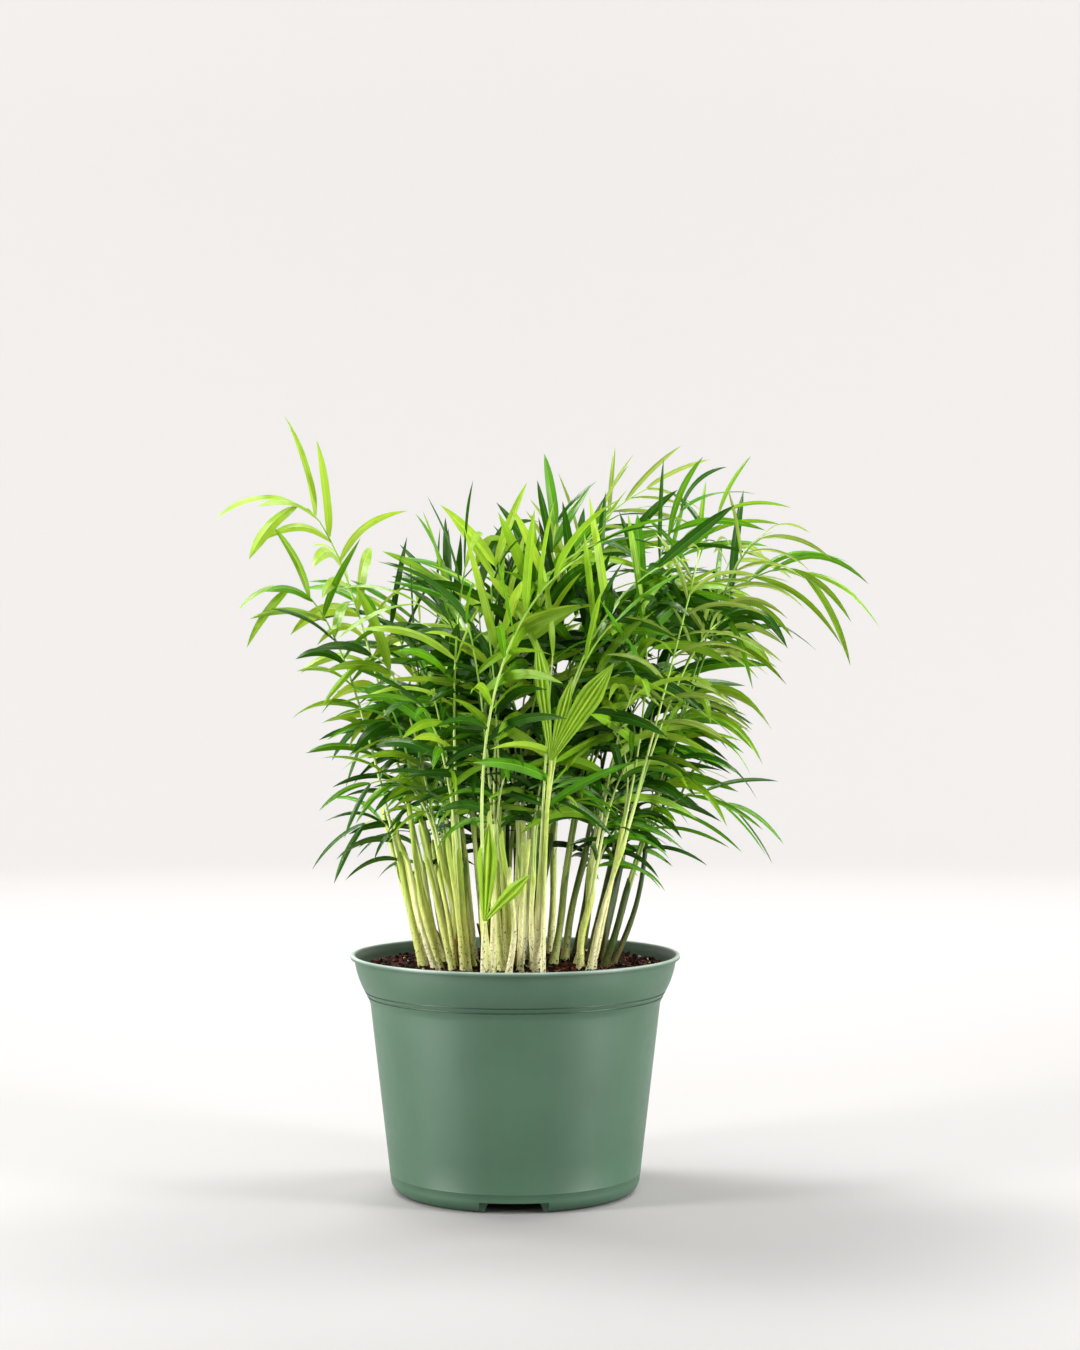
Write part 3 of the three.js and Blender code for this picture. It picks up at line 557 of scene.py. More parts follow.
# Behind this depth, and in this band across, many stems are painted dark olive as painted shade.
PAINTED_SHADE_BEHIND = 24
OLIVE_SIDE = (40, 60, -34)
SPECK_BROWN = "#3B2A16"
SPECKS_END = 190
SHEATH_GREENS_FROM = 138
SHEATH_GREEN_BY = 232
RIB_SPACING = 0.8
SPECK_SIZE = 1.7
WITHERED_TAN = "#A9804E"
WITHERED_BROWN = "#6B4A2A"


def noise(index, series):
    """Repeatable noise from 0 to 1, the same as the solids were grown with."""
    wave = math.sin(index * 12.9898 + series * 78.233) * 43758.5453
    return wave - math.floor(wave)


def spread(index, series, size):
    """The same noise, evenly to both sides of nothing."""
    return (2 * noise(index, SERIES[series]) - 1) * size


def lerp(low, high, share):
    """A value a share of the way from one to another."""
    return low + (high - low) * share


def clamp(value, low, high):
    """A value kept between two others."""
    return max(low, min(high, value))


class Seedling:
    """A stem, by where it stands, the way that it leans and its length.

    Seedlings draw first in each series of the noise. Shoots draw after them, from draw on.
    """

    def __init__(self, index, count, length, length_spread, radii, room, turn=0.0, draw=0):
        self.index = index
        self.seed = index + draw
        share = math.sqrt((index + 0.5) / count)
        turn += index * GOLDEN_ANGLE + spread(self.seed, "base turn", BASE_TURN_SPREAD)
        radius = CLUMP_RADIUS * share + spread(self.seed, "base radius", BASE_SPREAD)
        self.base = Vector((math.cos(turn) * radius, math.sin(turn) * radius, mix_height(radius) + GAP))
        lean = math.radians(LEAN_AT_CENTRE + LEAN_AT_EDGE * share + spread(self.seed, "lean", LEAN_SPREAD))
        way = turn + spread(self.seed, "lean turn", LEAN_TURN_SPREAD)
        flat = math.sin(lean)
        self.direction = Vector((math.cos(way) * flat, math.sin(way) * flat, math.cos(lean)))
        self.length = length - EDGE_STEM_DROP * share + spread(self.seed, "stem length", length_spread)
        self.top = self.base + self.direction * self.length
        self.base_radius, self.top_radius = radii
        self.room = room
        self.fronds = []


def across(direction):
    """Two directions square to one, and to each other."""
    side = direction.cross(Vector((0.31, -0.95, 0.02))).normalized()
    return side, direction.cross(side).normalized()


def tube(centres, radii, sides, slant=None, lumps=0.0, closed=True):
    """Rings swept along centres.

    slant lifts a point of a ring along the tube, and lumps knocks rings about by a share of their radius.
    """
    points = []
    for i, (centre, radius) in enumerate(zip(centres, radii)):
        along = (centres[min(i + 1, len(centres) - 1)] - centres[max(i - 1, 0)]).normalized()
        side, upper = across(along)
        for k in range(sides):
            turn = 2 * math.pi * k / sides
            out = side * math.cos(turn) + upper * math.sin(turn)
            reach = radius
            if lumps:
                reach *= 1 + lumps * perlin.noise((centre + out * radius * 2) / 3)
            lift = slant(i, turn) if slant else 0.0
            points.append(centre + out * reach + along * lift)
    faces = weave(len(centres), sides, closed=True)
    if closed:
        faces.append(list(range(sides))[::-1])
        faces.append(list(range(len(points) - sides, len(points))))
    return points, faces


def stem_radius(seedling, distance):
    """Flared at the foot, and a little swollen at the top where the stalks are wrapped."""
    flare = STEM_FLARE * max(0.0, 1 - distance / STEM_FLARE_HEIGHT) ** 1.6
    swell = MOUTH_SWELL * clamp((distance - seedling.length + MOUTH_SWELL_LENGTH) / MOUTH_SWELL_LENGTH, 0, 1)
    return lerp(seedling.base_radius, seedling.top_radius, min(1, distance / seedling.length)) + flare + swell


def stem_point(seedling, distance):
    """A point of the stem's slightly bowed line."""
    side, upper = across(seedling.direction)
    way = 2 * math.pi * noise(seedling.seed, SERIES["wave"])
    bow = STEM_BOW * noise(seedling.seed, SERIES["droop"])
    bow *= math.sin(math.pi * clamp(distance / seedling.length, 0, 1))
    straight = seedling.base + seedling.direction * distance
    return straight + (side * math.cos(way) + upper * math.sin(way)) * bow


def grow_sheaths(heap, seedling):
    """The rolled sheaths of one stem, the outer ones shorter and open, with oblique mouths."""
    for order, sheath in enumerate(SHEATHS):
        mouth = sheath["mouth"] + spread(seedling.seed + order * 7, "wave", sheath["spread"])
        end = seedling.length * mouth + sheath["past"]
        steps = max(5, round(end / 6))
        distances = [end * i / steps for i in range(steps + 1)]
        centres = [stem_point(seedling, d - SUNK) for d in distances]
        radii = [stem_radius(seedling, d) + sheath["stand_off"] for d in distances]
        radii[-1] = stem_radius(seedling, end) * sheath["opening"]
        facing = noise(seedling.seed + order, SERIES["tint"]) * 2 * math.pi

        def slant(ring, turn):
            near_mouth = max(0.0, ring - (steps - 2)) / 2
            return sheath["slant"] * near_mouth * math.cos(turn - facing)

        heap.add(*tube(centres, radii, SHEATH_SIDES, slant, lumps=LUMPS, closed=order == 0))


def grow_withered_sheath(heap, seedling):
    """A dry first sheath that has split and stands off the stem's foot."""
    height = lerp(*WITHERED_HEIGHTS, noise(seedling.seed, SERIES["droop"]))
    distances = [height * i / WITHERED_STEPS for i in range(WITHERED_STEPS + 1)]
    centres = [stem_point(seedling, d - SUNK) for d in distances]
    radii = [stem_radius(seedling, d) + lerp(*WITHERED_STAND_OFF, (d / height) ** 2) for d in distances]

    def torn(ring, turn):
        return (ring / WITHERED_STEPS) ** 2 * 5 * math.sin(turn * 3 + seedling.index)

    heap.add(*tube(centres, radii, SHEATH_SIDES, torn, lumps=0.15, closed=False))


def leaf_sheath(name, cream, pale, green):
    """Living sheath: cream where light never reached, greener above, finely ribbed, specked low down."""
    made, tree = new_material(name)
    place = add(tree, "TexCoord").outputs["Object"]
    height = add(tree, "SeparateXYZ", Vector=place).outputs["Z"]
    stem_by_stem = add(tree, "Mapping", Vector=place, Scale=(1, 1, 0.1))
    variety = add(tree, "TexNoise", Vector=stem_by_stem, Scale=1 / (9 * MM), Detail=2)
    ribbed = add(tree, "Mapping", Vector=place, Scale=(1, 1, 0.03))
    ribs = add(tree, "TexNoise", Vector=ribbed, Scale=1 / (RIB_SPACING * MM), Detail=2)
    climb = add(tree, "MapRange", Value=height, From_Min=SHEATH_GREENS_FROM * MM,
                From_Max=SHEATH_GREEN_BY * MM, To_Min=0, To_Max=0.8)
    shade = add(tree, "Math", {"operation": "MULTIPLY_ADD"}, values=(variety, 0.75, climb))
    shades = [(0.3, linear(cream)), (0.6, linear(pale)), (1.0, linear(green))]
    colour = add(tree, "ValToRGB", {"ramp": shades}, Fac=shade)
    lines = add(tree, "MapRange", Value=ribs, From_Min=0.3, From_Max=0.6, To_Min=0.7, To_Max=1.0)
    lined = add(tree, "Mix", {"data_type": "RGBA", "blend_type": "MULTIPLY"}, Factor=1.0, A=colour, B=lines)
    specks = add(tree, "TexNoise", Vector=place, Scale=1 / (SPECK_SIZE * MM), Detail=3, Roughness=0.8)
    low_down = add(tree, "MapRange", Value=height, From_Min=MIX_TOP * MM, From_Max=SPECKS_END * MM,
                   To_Min=0.575, To_Max=0.72)
    speckled = add(tree, "Math", {"operation": "GREATER_THAN"}, values=(specks, low_down))
    final = add(tree, "Mix", {"data_type": "RGBA"}, Factor=speckled, A=lined, B=linear(SPECK_BROWN))
    relief = add(tree, "Bump", Height=ribs, Strength=0.35, Distance=0.15 * MM)
    shader = add(tree, "BsdfPrincipled", Base_Color=final, Roughness=0.46, IOR=1.42, Normal=relief,
                 Subsurface_Weight=0.12, Subsurface_Radius=(0.9 * MM, 1.2 * MM, 0.4 * MM),
                 Subsurface_Scale=1.0)
    add(tree, "OutputMaterial", Surface=shader)
    return made


seedlings = [
    Seedling(i, SEEDLINGS, STEM_LENGTH, STEM_LENGTH_SPREAD, (STEM_BASE_RADIUS, STEM_TOP_RADIUS), 3)
    for i in range(SEEDLINGS)
]
shoots = [
    Seedling(i, SHOOTS, SHOOT_LENGTH, SHOOT_LENGTH_SPREAD, (SHOOT_BASE_RADIUS, SHOOT_TOP_RADIUS), 2,
             turn=SHOOT_TURN, draw=SEEDLINGS)
    for i in range(SHOOTS)
]
shoots = [shoot for shoot in shoots if not CLUMP_GAP[0] < shoot.base.x < CLUMP_GAP[1]]


def sheath_colour(seedling):
    """Which of the sheath colours a stem has, by where it stands and by chance; a stem behind gets a darker
    one, as painted shade.
    """
    x, y = seedling.base.x, seedling.base.y
    green = noise(seedling.seed, SERIES["tint"])
    # Standing behind makes a stem darker: painted shade.
    green += 0.45 * (GREEN_SIDE[0] < x < GREEN_SIDE[1] and y > GREEN_SIDE[2]) + 0.15 * (y > 0)
    behind = y > PAINTED_SHADE_BEHIND or OLIVE_SIDE[0] < x < OLIVE_SIDE[1] and y > OLIVE_SIDE[2]
    if behind and noise(seedling.seed, SERIES["width"]) > 0.35:
        return "olive"
    return "green" if green > 0.95 else "fresh" if green > 0.6 else "pale"


stem_heaps = {colour: Heap() for colour in SHEATH_COLOURS}
for seedling in seedlings + shoots:
    grow_sheaths(stem_heaps[sheath_colour(seedling)], seedling)
withered_heap = Heap()
for seedling in seedlings[2::5]:
    grow_withered_sheath(withered_heap, seedling)
sheaths = {colour: leaf_sheath("leaf sheath " + colour, *shades) for colour, shades in SHEATH_COLOURS.items()}
stem_nodes = [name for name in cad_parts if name.startswith("stem_")]
for colour, heap in stem_heaps.items():
    belong(heap.piece("stems_" + colour, sheaths[colour], sharp=50), "stems", *stem_nodes)
dry_sheath = crumbly("dry sheath", WITHERED_BROWN, WITHERED_TAN, 3)
belong(withered_heap.piece("withered_sheaths", dry_sheath, sharp=50), "stems")

# The fronds
# Feather leaves on wiry pale stalks that arch out of the sheaths. Each leaflet is a thin, soft, glossy
# blade, ridged along its midrib, that narrows to the rib and hangs a little at its tip.

FRONDS = 82
FRONDS_PER_SEEDLING = 3
FILL_FRONDS = 56
FILL_REACH = 0.8
FILL_TIP_Z = (236, 378)
HUB_RADIUS = 2.6
PETIOLE_RADIUS = 1.15
RIB_TIP_RADIUS = 0.45
ARCH_UPRIGHT = 0.62
ARCH_OUTWARD = 1.15
LEAST_RISE = 22
ROLL_SPREAD = 46
FILL_ROLL_SPREAD = 85
BLADE_SHARE = 0.5
BLADE_EXTRA = 22
MOST_BLADE = 0.86
FEWEST_PAIRS = 4
MOST_PAIRS = 10
LEAFLET_SPACING = 12.5
LEAFLET_LENGTH = 38
LEAFLET_GROWTH = 0.24
SHORTEST_LEAFLET = 46
LONGEST_LEAFLET = 74
LEAFLET_SPREAD = 0.08
LEAFLET_WIDTH_RATIO = 0.087
LEAFLET_WIDTH_SPREAD = 0.27
LOW_LEAFLET_WIDTH = 0.72
END_LEAFLET_WIDTH = 1.22
LEAFLET_WAIST = 0.46
LAST_PLACE = 0.995
STAGGER = 0.25
FIRST_ANGLE = 60
LAST_ANGLE = 22
ANGLE_SPREAD = 15
TWIST_SPREAD = 0.85
BLADE_VEE = 0.12
VEE_SPREAD = 0.34
LEAST_HANG = 0.12
MOST_HANG = 1.3
HANG_SPREAD = 0.45
LEAFLET_HANG_SPREAD = 0.45
MOST_FOLD = 0.8
RIDGE = 0.17
SICKLE = 0.05
WAVE = 0.05
CURL_SPREAD = 0.6
STATIONS = 10
STALK_STEPS = 22
STALK_SIDES = 7
STALK_GREENS_FROM = 190
STALK_GREEN_BY = 400
MOTTLE_SIZE = 14
VEINS = 52.0
VEIN_DEPTH = 0.06
# Painted shade in the crown: how far from its axis leaflets are darkened, by how much, and how much darker
# some turn by chance.
SHADED_CORE_RADIUS = 70
SHADE_DEEP_IN_CROWN = 2.3
SHADE_BY_CHANCE = 4.2
DARKEST_BY_CHANCE = 3.4
CROWN_RADIUS = 100
CROWN_SHIFT = 36
CROWN_BOTTOM = 214
CROWN_DEPTH = 184
CROWN_SPREAD = 7

# Fronds that break the even crown, each by its tip, how far its leaflets hang, the length of its longest
# leaflet and the turn of its blade about the rib.
LONG_FRONDS = [
    dict(tip=(-134, -20, 420), hang=0.7, leaflet=72, roll=-45, arch=1.04, tint="lime"),
    dict(tip=(-136, -42, 368), hang=0.45, leaflet=60, roll=-65, arch=1.05, tint="spring"),
    dict(tip=(-100, 34, 362), hang=0.3, leaflet=60, roll=-50, arch=0.95),
    dict(tip=(-86, -52, 328), hang=0.4, leaflet=60, roll=-70, arch=1),
    dict(tip=(-90, 20, 288), hang=0.5, leaflet=56, roll=-45, arch=1.15),
    dict(tip=(-86, -56, 252), hang=0.5, leaflet=56, roll=-60, arch=1.25, tint="spring"),
    dict(tip=(-92, -14, 226), hang=0.7, leaflet=56, roll=-50, arch=1.4, tint="spring"),
    dict(tip=(25, 10, 410), hang=0, leaflet=60, roll=80, tint="green"),
    dict(tip=(-12, -30, 384), hang=0.05, leaflet=64, roll=65, tint="lime"),
    dict(tip=(-44, 24, 372), hang=0.1, leaflet=58, roll=-60, tint="spring"),
    dict(tip=(104, 28, 420), hang=0.55, leaflet=74, roll=80, arch=0.75, tint="green", slim=0.62),
    dict(tip=(116, 58, 398), hang=0.3, leaflet=66, roll=60, arch=0.95, slim=0.7),
    dict(tip=(178, 0, 380), hang=1.2, leaflet=84, roll=65, arch=1.12, tint="spring", slim=0.62),
    dict(tip=(128, -30, 352), hang=1.5, leaflet=84, roll=60, arch=1.05, tint="spring", slim=0.7),
    dict(tip=(108, -44, 306), hang=0.6, leaflet=58, roll=60, arch=1.1, slim=0.8),
    dict(tip=(104, 50, 286), hang=0.5, leaflet=58, roll=50, arch=1.1, slim=0.8),
    dict(tip=(130, -10, 238), hang=0.5, leaflet=56, roll=65, arch=1.5, slim=0.75),
    dict(tip=(-5, -74, 342), hang=0.1, leaflet=76, roll=0, tint="lime", stalk=1.9, blade=0.3),
    dict(tip=(24, -72, 276), hang=0, leaflet=66, roll=10, tint="lime", pleated=True),
    dict(tip=(80, -52, 356), hang=0.5, leaflet=66, roll=30, tint="spring", stalk=1.35),
    dict(tip=(-56, -96, 300), hang=0.5, leaflet=62, roll=10, tint="spring"),
    dict(tip=(60, 124, 366), hang=0.8, leaflet=72, roll=-20, arch=1.05),
    dict(tip=(-58, 120, 344), hang=0.6, leaflet=70, roll=25, arch=1.05),
]

# Fine old fronds that close the crown's upper right, thin against the light.
FINE_FRONDS = [
    dict(tip=(84, 52, 436), hang=0.3, leaflet=56, roll=70, arch=0.8, tint="olive"),
    dict(tip=(128, 34, 418), hang=0.5, leaflet=60, roll=60, arch=0.85),
    dict(tip=(142, 56, 398), hang=0.6, leaflet=58, roll=50, arch=0.95, tint="olive"),
    dict(tip=(150, -14, 400), hang=0.8, leaflet=62, roll=65, arch=0.95, tint="olive"),
    dict(tip=(66, 70, 420), hang=0.2, leaflet=54, roll=40, arch=0.8),
    dict(tip=(112, -30, 392), hang=0.7, leaflet=58, roll=50, arch=0.9, tint="olive"),
    dict(tip=(136, 18, 352), hang=0.9, leaflet=58, roll=55, arch=1, tint="olive"),
    dict(tip=(112, 66, 330), hang=0.8, leaflet=54, roll=40, arch=1, tint="olive"),
]
FINE_SLIM = 0.6

# Places that stay clear of leaflets, from and to across, in depth and in height: before the bare stems, and
# before the large young leaf.
KEPT_CLEAR = (
    ((-62, 46), (-200, 10), (0, 238)),
    ((7, 59), (-200, -62), (262, 338)),
)
# Small openings through the crown: where each shows from the front, across and up, and its radius.
VIEW_FROM = Vector((15.2, -1500, 316.6))  # where the photograph was taken from
GAP_SAMPLES = 9
SKY_GAPS = (
    (67, 374, 6.5), (84, 390, 6), (117, 388, 6.5), (36, 351, 6), (-28, 381, 7), (-19, 349, 7),
    (86, 329, 6.5), (101, 324, 5.5), (122, 319, 4.5), (31, 321, 6), (55, 264, 7), (34, 220, 7),
    (-70, 318, 6), (-52, 352, 6), (3, 300, 6), (76, 296, 6),
)

# Leaf colours from a young leaf's to the darkest; the darker ones are painted shade, for fronds low, behind
# and on the left, for leaflets deep in the crown, and for some by chance. Each is the blade's colour, the
# yellower one that light takes when it comes through, and the share that does, which is less through the
# darker ones.
# The fine fronds at the upper right have aged to olive in full light.
LEAF_TINTS = {
    "lime": ("#90BC30", "#C6E044", 0.23),
    "spring": ("#74A71E", "#A8CC2E", 0.2),
    "green": ("#448711", "#86BE1C", 0.16),
    "deep": ("#1F5108", "#468012", 0.1),
    "shade": ("#0D2E05", "#204E0A", 0.06),
    "olive": ("#7E9A38", "#BCD05C", 0.25),
}
BRIGHT_TO_DARK = ("lime", "spring", "green", "deep", "shade")
# Painted light and shade: what makes a frond bright, and by how much: chance, its height, how far out it
# stands, and its side. All but chance paint the crown lighter at the top, outside, right and front.
BRIGHTNESS = {"chance": 0.45, "level": 0.16, "outward": 0.16, "left": -0.1, "front": 0.12}
# How much brighter the ruled fronds are, and how much darker those that fill the crown, as painted shade.
RULED_BRIGHTER = 0.03
FILL_PAINTED_SHADE = 0.2
DARKEST_STEP = 4.8
STEPS_BY_BRIGHTNESS = 6.2
STALK_COLOURS = {"pale": ("#E2E8A0", "#98C048"), "green": ("#8E9E4C", "#5C8C26")}
WAX_GLOSS = "#F2FACC"


class Frond:
    """A frond by its tip and its habit, drawn from the rule unless it is given."""

    def __init__(self, index, tip, hang, **habit):
        self.index = index
        self.tip = Vector(tip)
        self.hang = hang
        self.leaflet = habit.get("leaflet")
        self.roll = habit.get("roll")
        self.arch = habit.get("arch")
        self.tint = habit.get("tint")
        self.stalk = habit.get("stalk", 1.0)
        self.slim = habit.get("slim", 1.0)
        self.pleated = habit.get("pleated", False)
        self.fill = habit.get("fill", False)
        self.blade = habit.get("blade")


def crown_tip(index, count, reach=1.0):
    """Where the growth rule puts the tip of one frond's rib."""
    level = (index + 0.5) / count
    turn = index * GOLDEN_ANGLE
    bulge = 0.68 + 0.32 * min(1, 2 * level) - 0.25 * max(0, level - 0.75)
    shell = 0.45 + 0.55 * math.sqrt(noise(index, SERIES["shell"]))
    radius = CROWN_RADIUS * bulge * shell * reach
    height = CROWN_BOTTOM + CROWN_DEPTH * level + spread(index, "height", CROWN_SPREAD)
    return Vector((CROWN_SHIFT * level + radius * math.cos(turn), radius * math.sin(turn), height))


def stem_under(tip, stems):
    """The stem that still has room and stands best under a frond's tip."""
    share = lerp(0.62, 0.3, clamp((tip.z - CROWN_BOTTOM) / CROWN_DEPTH, 0, 1))

    def cost(stem):
        aside = math.hypot(stem.base.x - share * tip.x, stem.base.y - share * tip.y)
        return aside + (2 * CLUMP_RADIUS if tip.z - stem.top.z < LEAST_RISE else 0)

    return min((stem for stem in stems if len(stem.fronds) < stem.room), key=cost)


def hand_out(fronds, stems):
    """Gives each frond its stem, and its place round the mouth of the top sheath."""
    for frond in fronds:
        frond.stem = stem_under(frond.tip, stems)
        frond.stem.fronds.append(frond)
    for stem in (stem for stem in stems if stem.fronds):
        ways = [(frond.tip - stem.top).to_2d() for frond in stem.fronds]
        middle = math.atan2(sum(way.y for way in ways), sum(way.x for way in ways))

        def aside(frond):
            angle = math.atan2(frond.tip.y - stem.top.y, frond.tip.x - stem.top.x) - middle
            return math.atan2(math.sin(angle), math.cos(angle))

        stem.fronds.sort(key=aside)
        for slot, frond in enumerate(stem.fronds):
            frond.slot_angle = middle + (slot - 1) * 2 * math.pi / FRONDS_PER_SEEDLING


def ruled_hang(index, height):
    """How far the leaflets of a frond hang: the lower it grows, the further."""
    level = (height - CROWN_BOTTOM) / CROWN_DEPTH
    return max(0, MOST_HANG * (1 - level) + spread(index, "hang", HANG_SPREAD))


def plan_fronds():
    """The same fronds as the solids have, then finer ones that fill the crown behind them."""
    fronds = [Frond(i, **habit) for i, habit in enumerate(LONG_FRONDS)]
    ruled = FRONDS - len(LONG_FRONDS)
    for i in range(ruled):
        tip = crown_tip(i, ruled)
        fronds.append(Frond(len(fronds), tip, ruled_hang(i, tip.z)))
    hand_out(fronds, seedlings)
    fill = []
    for i in range(FILL_FRONDS):
        tip = crown_tip(i, FILL_FRONDS, FILL_REACH)
        tip.z = lerp(*FILL_TIP_Z, (i + 0.5) / FILL_FRONDS) + spread(i + FRONDS, "height", CROWN_SPREAD)
        fill.append(Frond(FRONDS + i, tip, ruled_hang(i + FRONDS, tip.z), fill=True))
    for i, habit in enumerate(FINE_FRONDS):
        fill.append(Frond(FRONDS + FILL_FRONDS + i, slim=FINE_SLIM, **habit))
    hand_out(fill, shoots)
    return fronds + fill


class Rib:
    """The midrib's line: straight on from the stem, then arching over to its tip, by its own length."""

    SAMPLES = 48

    def __init__(self, frond):
        stem = frond.stem
        slot = Vector((math.cos(frond.slot_angle), math.sin(frond.slot_angle), 0))
        mouth = HUB_RADIUS * 0.38 * stem.top_radius / STEM_TOP_RADIUS
        self.root = stem.top + stem.direction * (GAP + 0.3 * HUB_LENGTH) + slot * mouth
        outward = Vector((frond.tip.x - self.root.x, frond.tip.y - self.root.y, 0))
        flatness = outward.length / (frond.tip - self.root).length
        outward.normalize()
        self.side = Vector((-outward.y, outward.x, 0))
        arch = frond.arch or lerp(ARCH_UPRIGHT, ARCH_OUTWARD, flatness)
        self.knee = self.root + stem.direction * (arch * (frond.tip.z - self.root.z) / stem.direction.z)
        self.tip = frond.tip
        rolled = spread(frond.index, "roll", FILL_ROLL_SPREAD if frond.fill else ROLL_SPREAD)
        self.roll = math.radians(rolled if frond.roll is None else frond.roll)
        line = [self.point(i / self.SAMPLES) for i in range(self.SAMPLES + 1)]
        self.run = [0.0]
        for a, b in zip(line, line[1:]):
            self.run.append(self.run[-1] + (b - a).length)
        self.length = self.run[-1]

    def point(self, t):
        return self.root * (1 - t) ** 2 + self.knee * (2 * t * (1 - t)) + self.tip * t ** 2

    def at(self, place):
        """Centre, and the ways along the rib, to its left and out of its top, at a share of its length."""
        wanted = clamp(place, 0, 1) * self.length
        step = next((i for i in range(self.SAMPLES) if self.run[i + 1] >= wanted), self.SAMPLES - 1)
        within = (wanted - self.run[step]) / (self.run[step + 1] - self.run[step])
        t = (step + within) / self.SAMPLES
        along = ((self.knee - self.root) * (1 - t) + (self.tip - self.knee) * t).normalized()
        side = Matrix.Rotation(self.roll, 3, along) @ self.side
        side = (side - along * side.dot(along)).normalized()
        return self.point(t), along, side, along.cross(side)


def blade_width(share):
    """Width of a leaflet along its length: narrow at the rib, nearly straight-sided, with a blunt point."""
    opening = clamp(share / 0.3, 0, 1)
    closing = clamp((share - 0.4) / 0.6, 0, 1)
    return (0.3 + 0.7 * opening * (2 - opening)) * (1 - closing ** 3.0) + 0.02


def leaf_line(root, way, hanging, length):
    """The midrib of a leaf, as a function of the share of its length: off one way, then hanging another."""
    waist = root + way * LEAFLET_WAIST * length
    tip = waist + hanging * (1 - LEAFLET_WAIST) * length
    return lambda t: root * (1 - t) ** 2 + waist * (2 * t * (1 - t)) + tip * t ** 2


def grow_blade(heap, root, way, sideways, hanging, length, width, folds=1, ridge=RIDGE, wave=0.0, twist=0.0,
               sickle=0.0, outline=blade_width):
    """A leaf blade along a curve that leaves its root one way and hangs over to another."""
    line = leaf_line(root, way, hanging, length)
    columns = 2 * folds if folds > 1 else 4
    points, places = [], []
    for i in range(STATIONS + 1):
        t = i / STATIONS
        centre = line(t)
        along = (way * LEAFLET_WAIST * (1 - t) + hanging * (1 - LEAFLET_WAIST) * t).normalized()
        out = Matrix.Rotation(twist * t, 3, along) @ sideways
        out = (out - along * out.dot(along)).normalized()
        face = out.cross(along)
        centre = centre + out * sickle * length * t * t
        half = width * outline(t) / 2
        for k in range(columns + 1):
            s = 2 * k / columns - 1
            if folds > 1:
                height = (0.5 - (k % 2)) * ridge * 2 * half / folds
            else:
                height = -ridge * half * 2 * (1.25 * abs(s) - 0.25 * s * s)
            height += wave * half * math.sin(9 * t + 2 * s) * abs(s)
            points.append(centre + out * s * half + face * height)
            places.append((s, t))
    heap.add(points, weave(STATIONS + 1, columns + 1), places)


def choose_tint(frond):
    """A given colour stays; otherwise high, outer, right and front fronds get the bright colours and those
    that fill the middle the dark ones, as painted light and shade.
    """
    if frond.tint:
        return frond.tint
    level = (frond.tip.z - CROWN_BOTTOM) / CROWN_DEPTH
    traits = {
        "chance": noise(frond.index, SERIES["tint"]),
        "level": level,
        "outward": math.hypot(frond.tip.x - CROWN_SHIFT * level, frond.tip.y) / CROWN_RADIUS,
        "left": clamp(-frond.tip.x / CROWN_RADIUS, -1, 1),
        "front": clamp(-frond.tip.y / CROWN_RADIUS, -1, 1),
    }
    bright = sum(BRIGHTNESS[trait] * value for trait, value in traits.items())
    bright += -FILL_PAINTED_SHADE if frond.fill else RULED_BRIGHTER
    return BRIGHT_TO_DARK[int(clamp(DARKEST_STEP - bright * STEPS_BY_BRIGHTNESS, 0, len(BRIGHT_TO_DARK) - 1))]


def leaflet_tint(tint, place, seed):
    """A leaflet's colour: its frond's, made darker as painted shade deep in the crown and, for some, by
    chance.
    """
    axis = CROWN_SHIFT * clamp((place.z - CROWN_BOTTOM) / CROWN_DEPTH, 0, 1)
    below_top = (CROWN_BOTTOM + CROWN_DEPTH - place.z) / SHADED_CORE_RADIUS
    depth = min(1 - math.hypot(place.x - axis, place.y) / SHADED_CORE_RADIUS, below_top)
    chance = SHADE_BY_CHANCE * noise(seed, SERIES["tint"]) ** 2
    darker = min(BRIGHT_TO_DARK.index(tint) + chance, DARKEST_BY_CHANCE) + SHADE_DEEP_IN_CROWN * max(0.0, depth)
    return BRIGHT_TO_DARK[int(min(darker, len(BRIGHT_TO_DARK) - 1))]


def in_the_open(place):
    """Is a leaflet's middle in front of the bare stems, or of the large young leaf?"""
    return any(all(low < value < high for value, (low, high) in zip(place, box)) for box in KEPT_CLEAR)


def over_a_gap(line):
    """Does a leaflet's midrib cross one of the openings, seen from the front?"""
    for i in range(1, GAP_SAMPLES):
        place = line(i / GAP_SAMPLES) - VIEW_FROM
        seen = VIEW_FROM - place * VIEW_FROM.y / place.y
        if any(math.hypot(seen.x - x, seen.z - z) < radius for x, z, radius in SKY_GAPS):
            return True
    return False


def grow_stalk(heap, frond, rib):
    """The bare stalk and the midrib beyond it, as one tapering wiry tube."""
    places = [i / STALK_STEPS for i in range(STALK_STEPS + 1)]
    centres = [rib.at(place)[0] for place in places]
    root_radius = PETIOLE_RADIUS * (frond.stem.top_radius / STEM_TOP_RADIUS) ** 0.6
    radii = [frond.stalk * lerp(root_radius, RIB_TIP_RADIUS, place ** 0.8) for place in places]
    heap.add(*tube(centres, radii, STALK_SIDES))


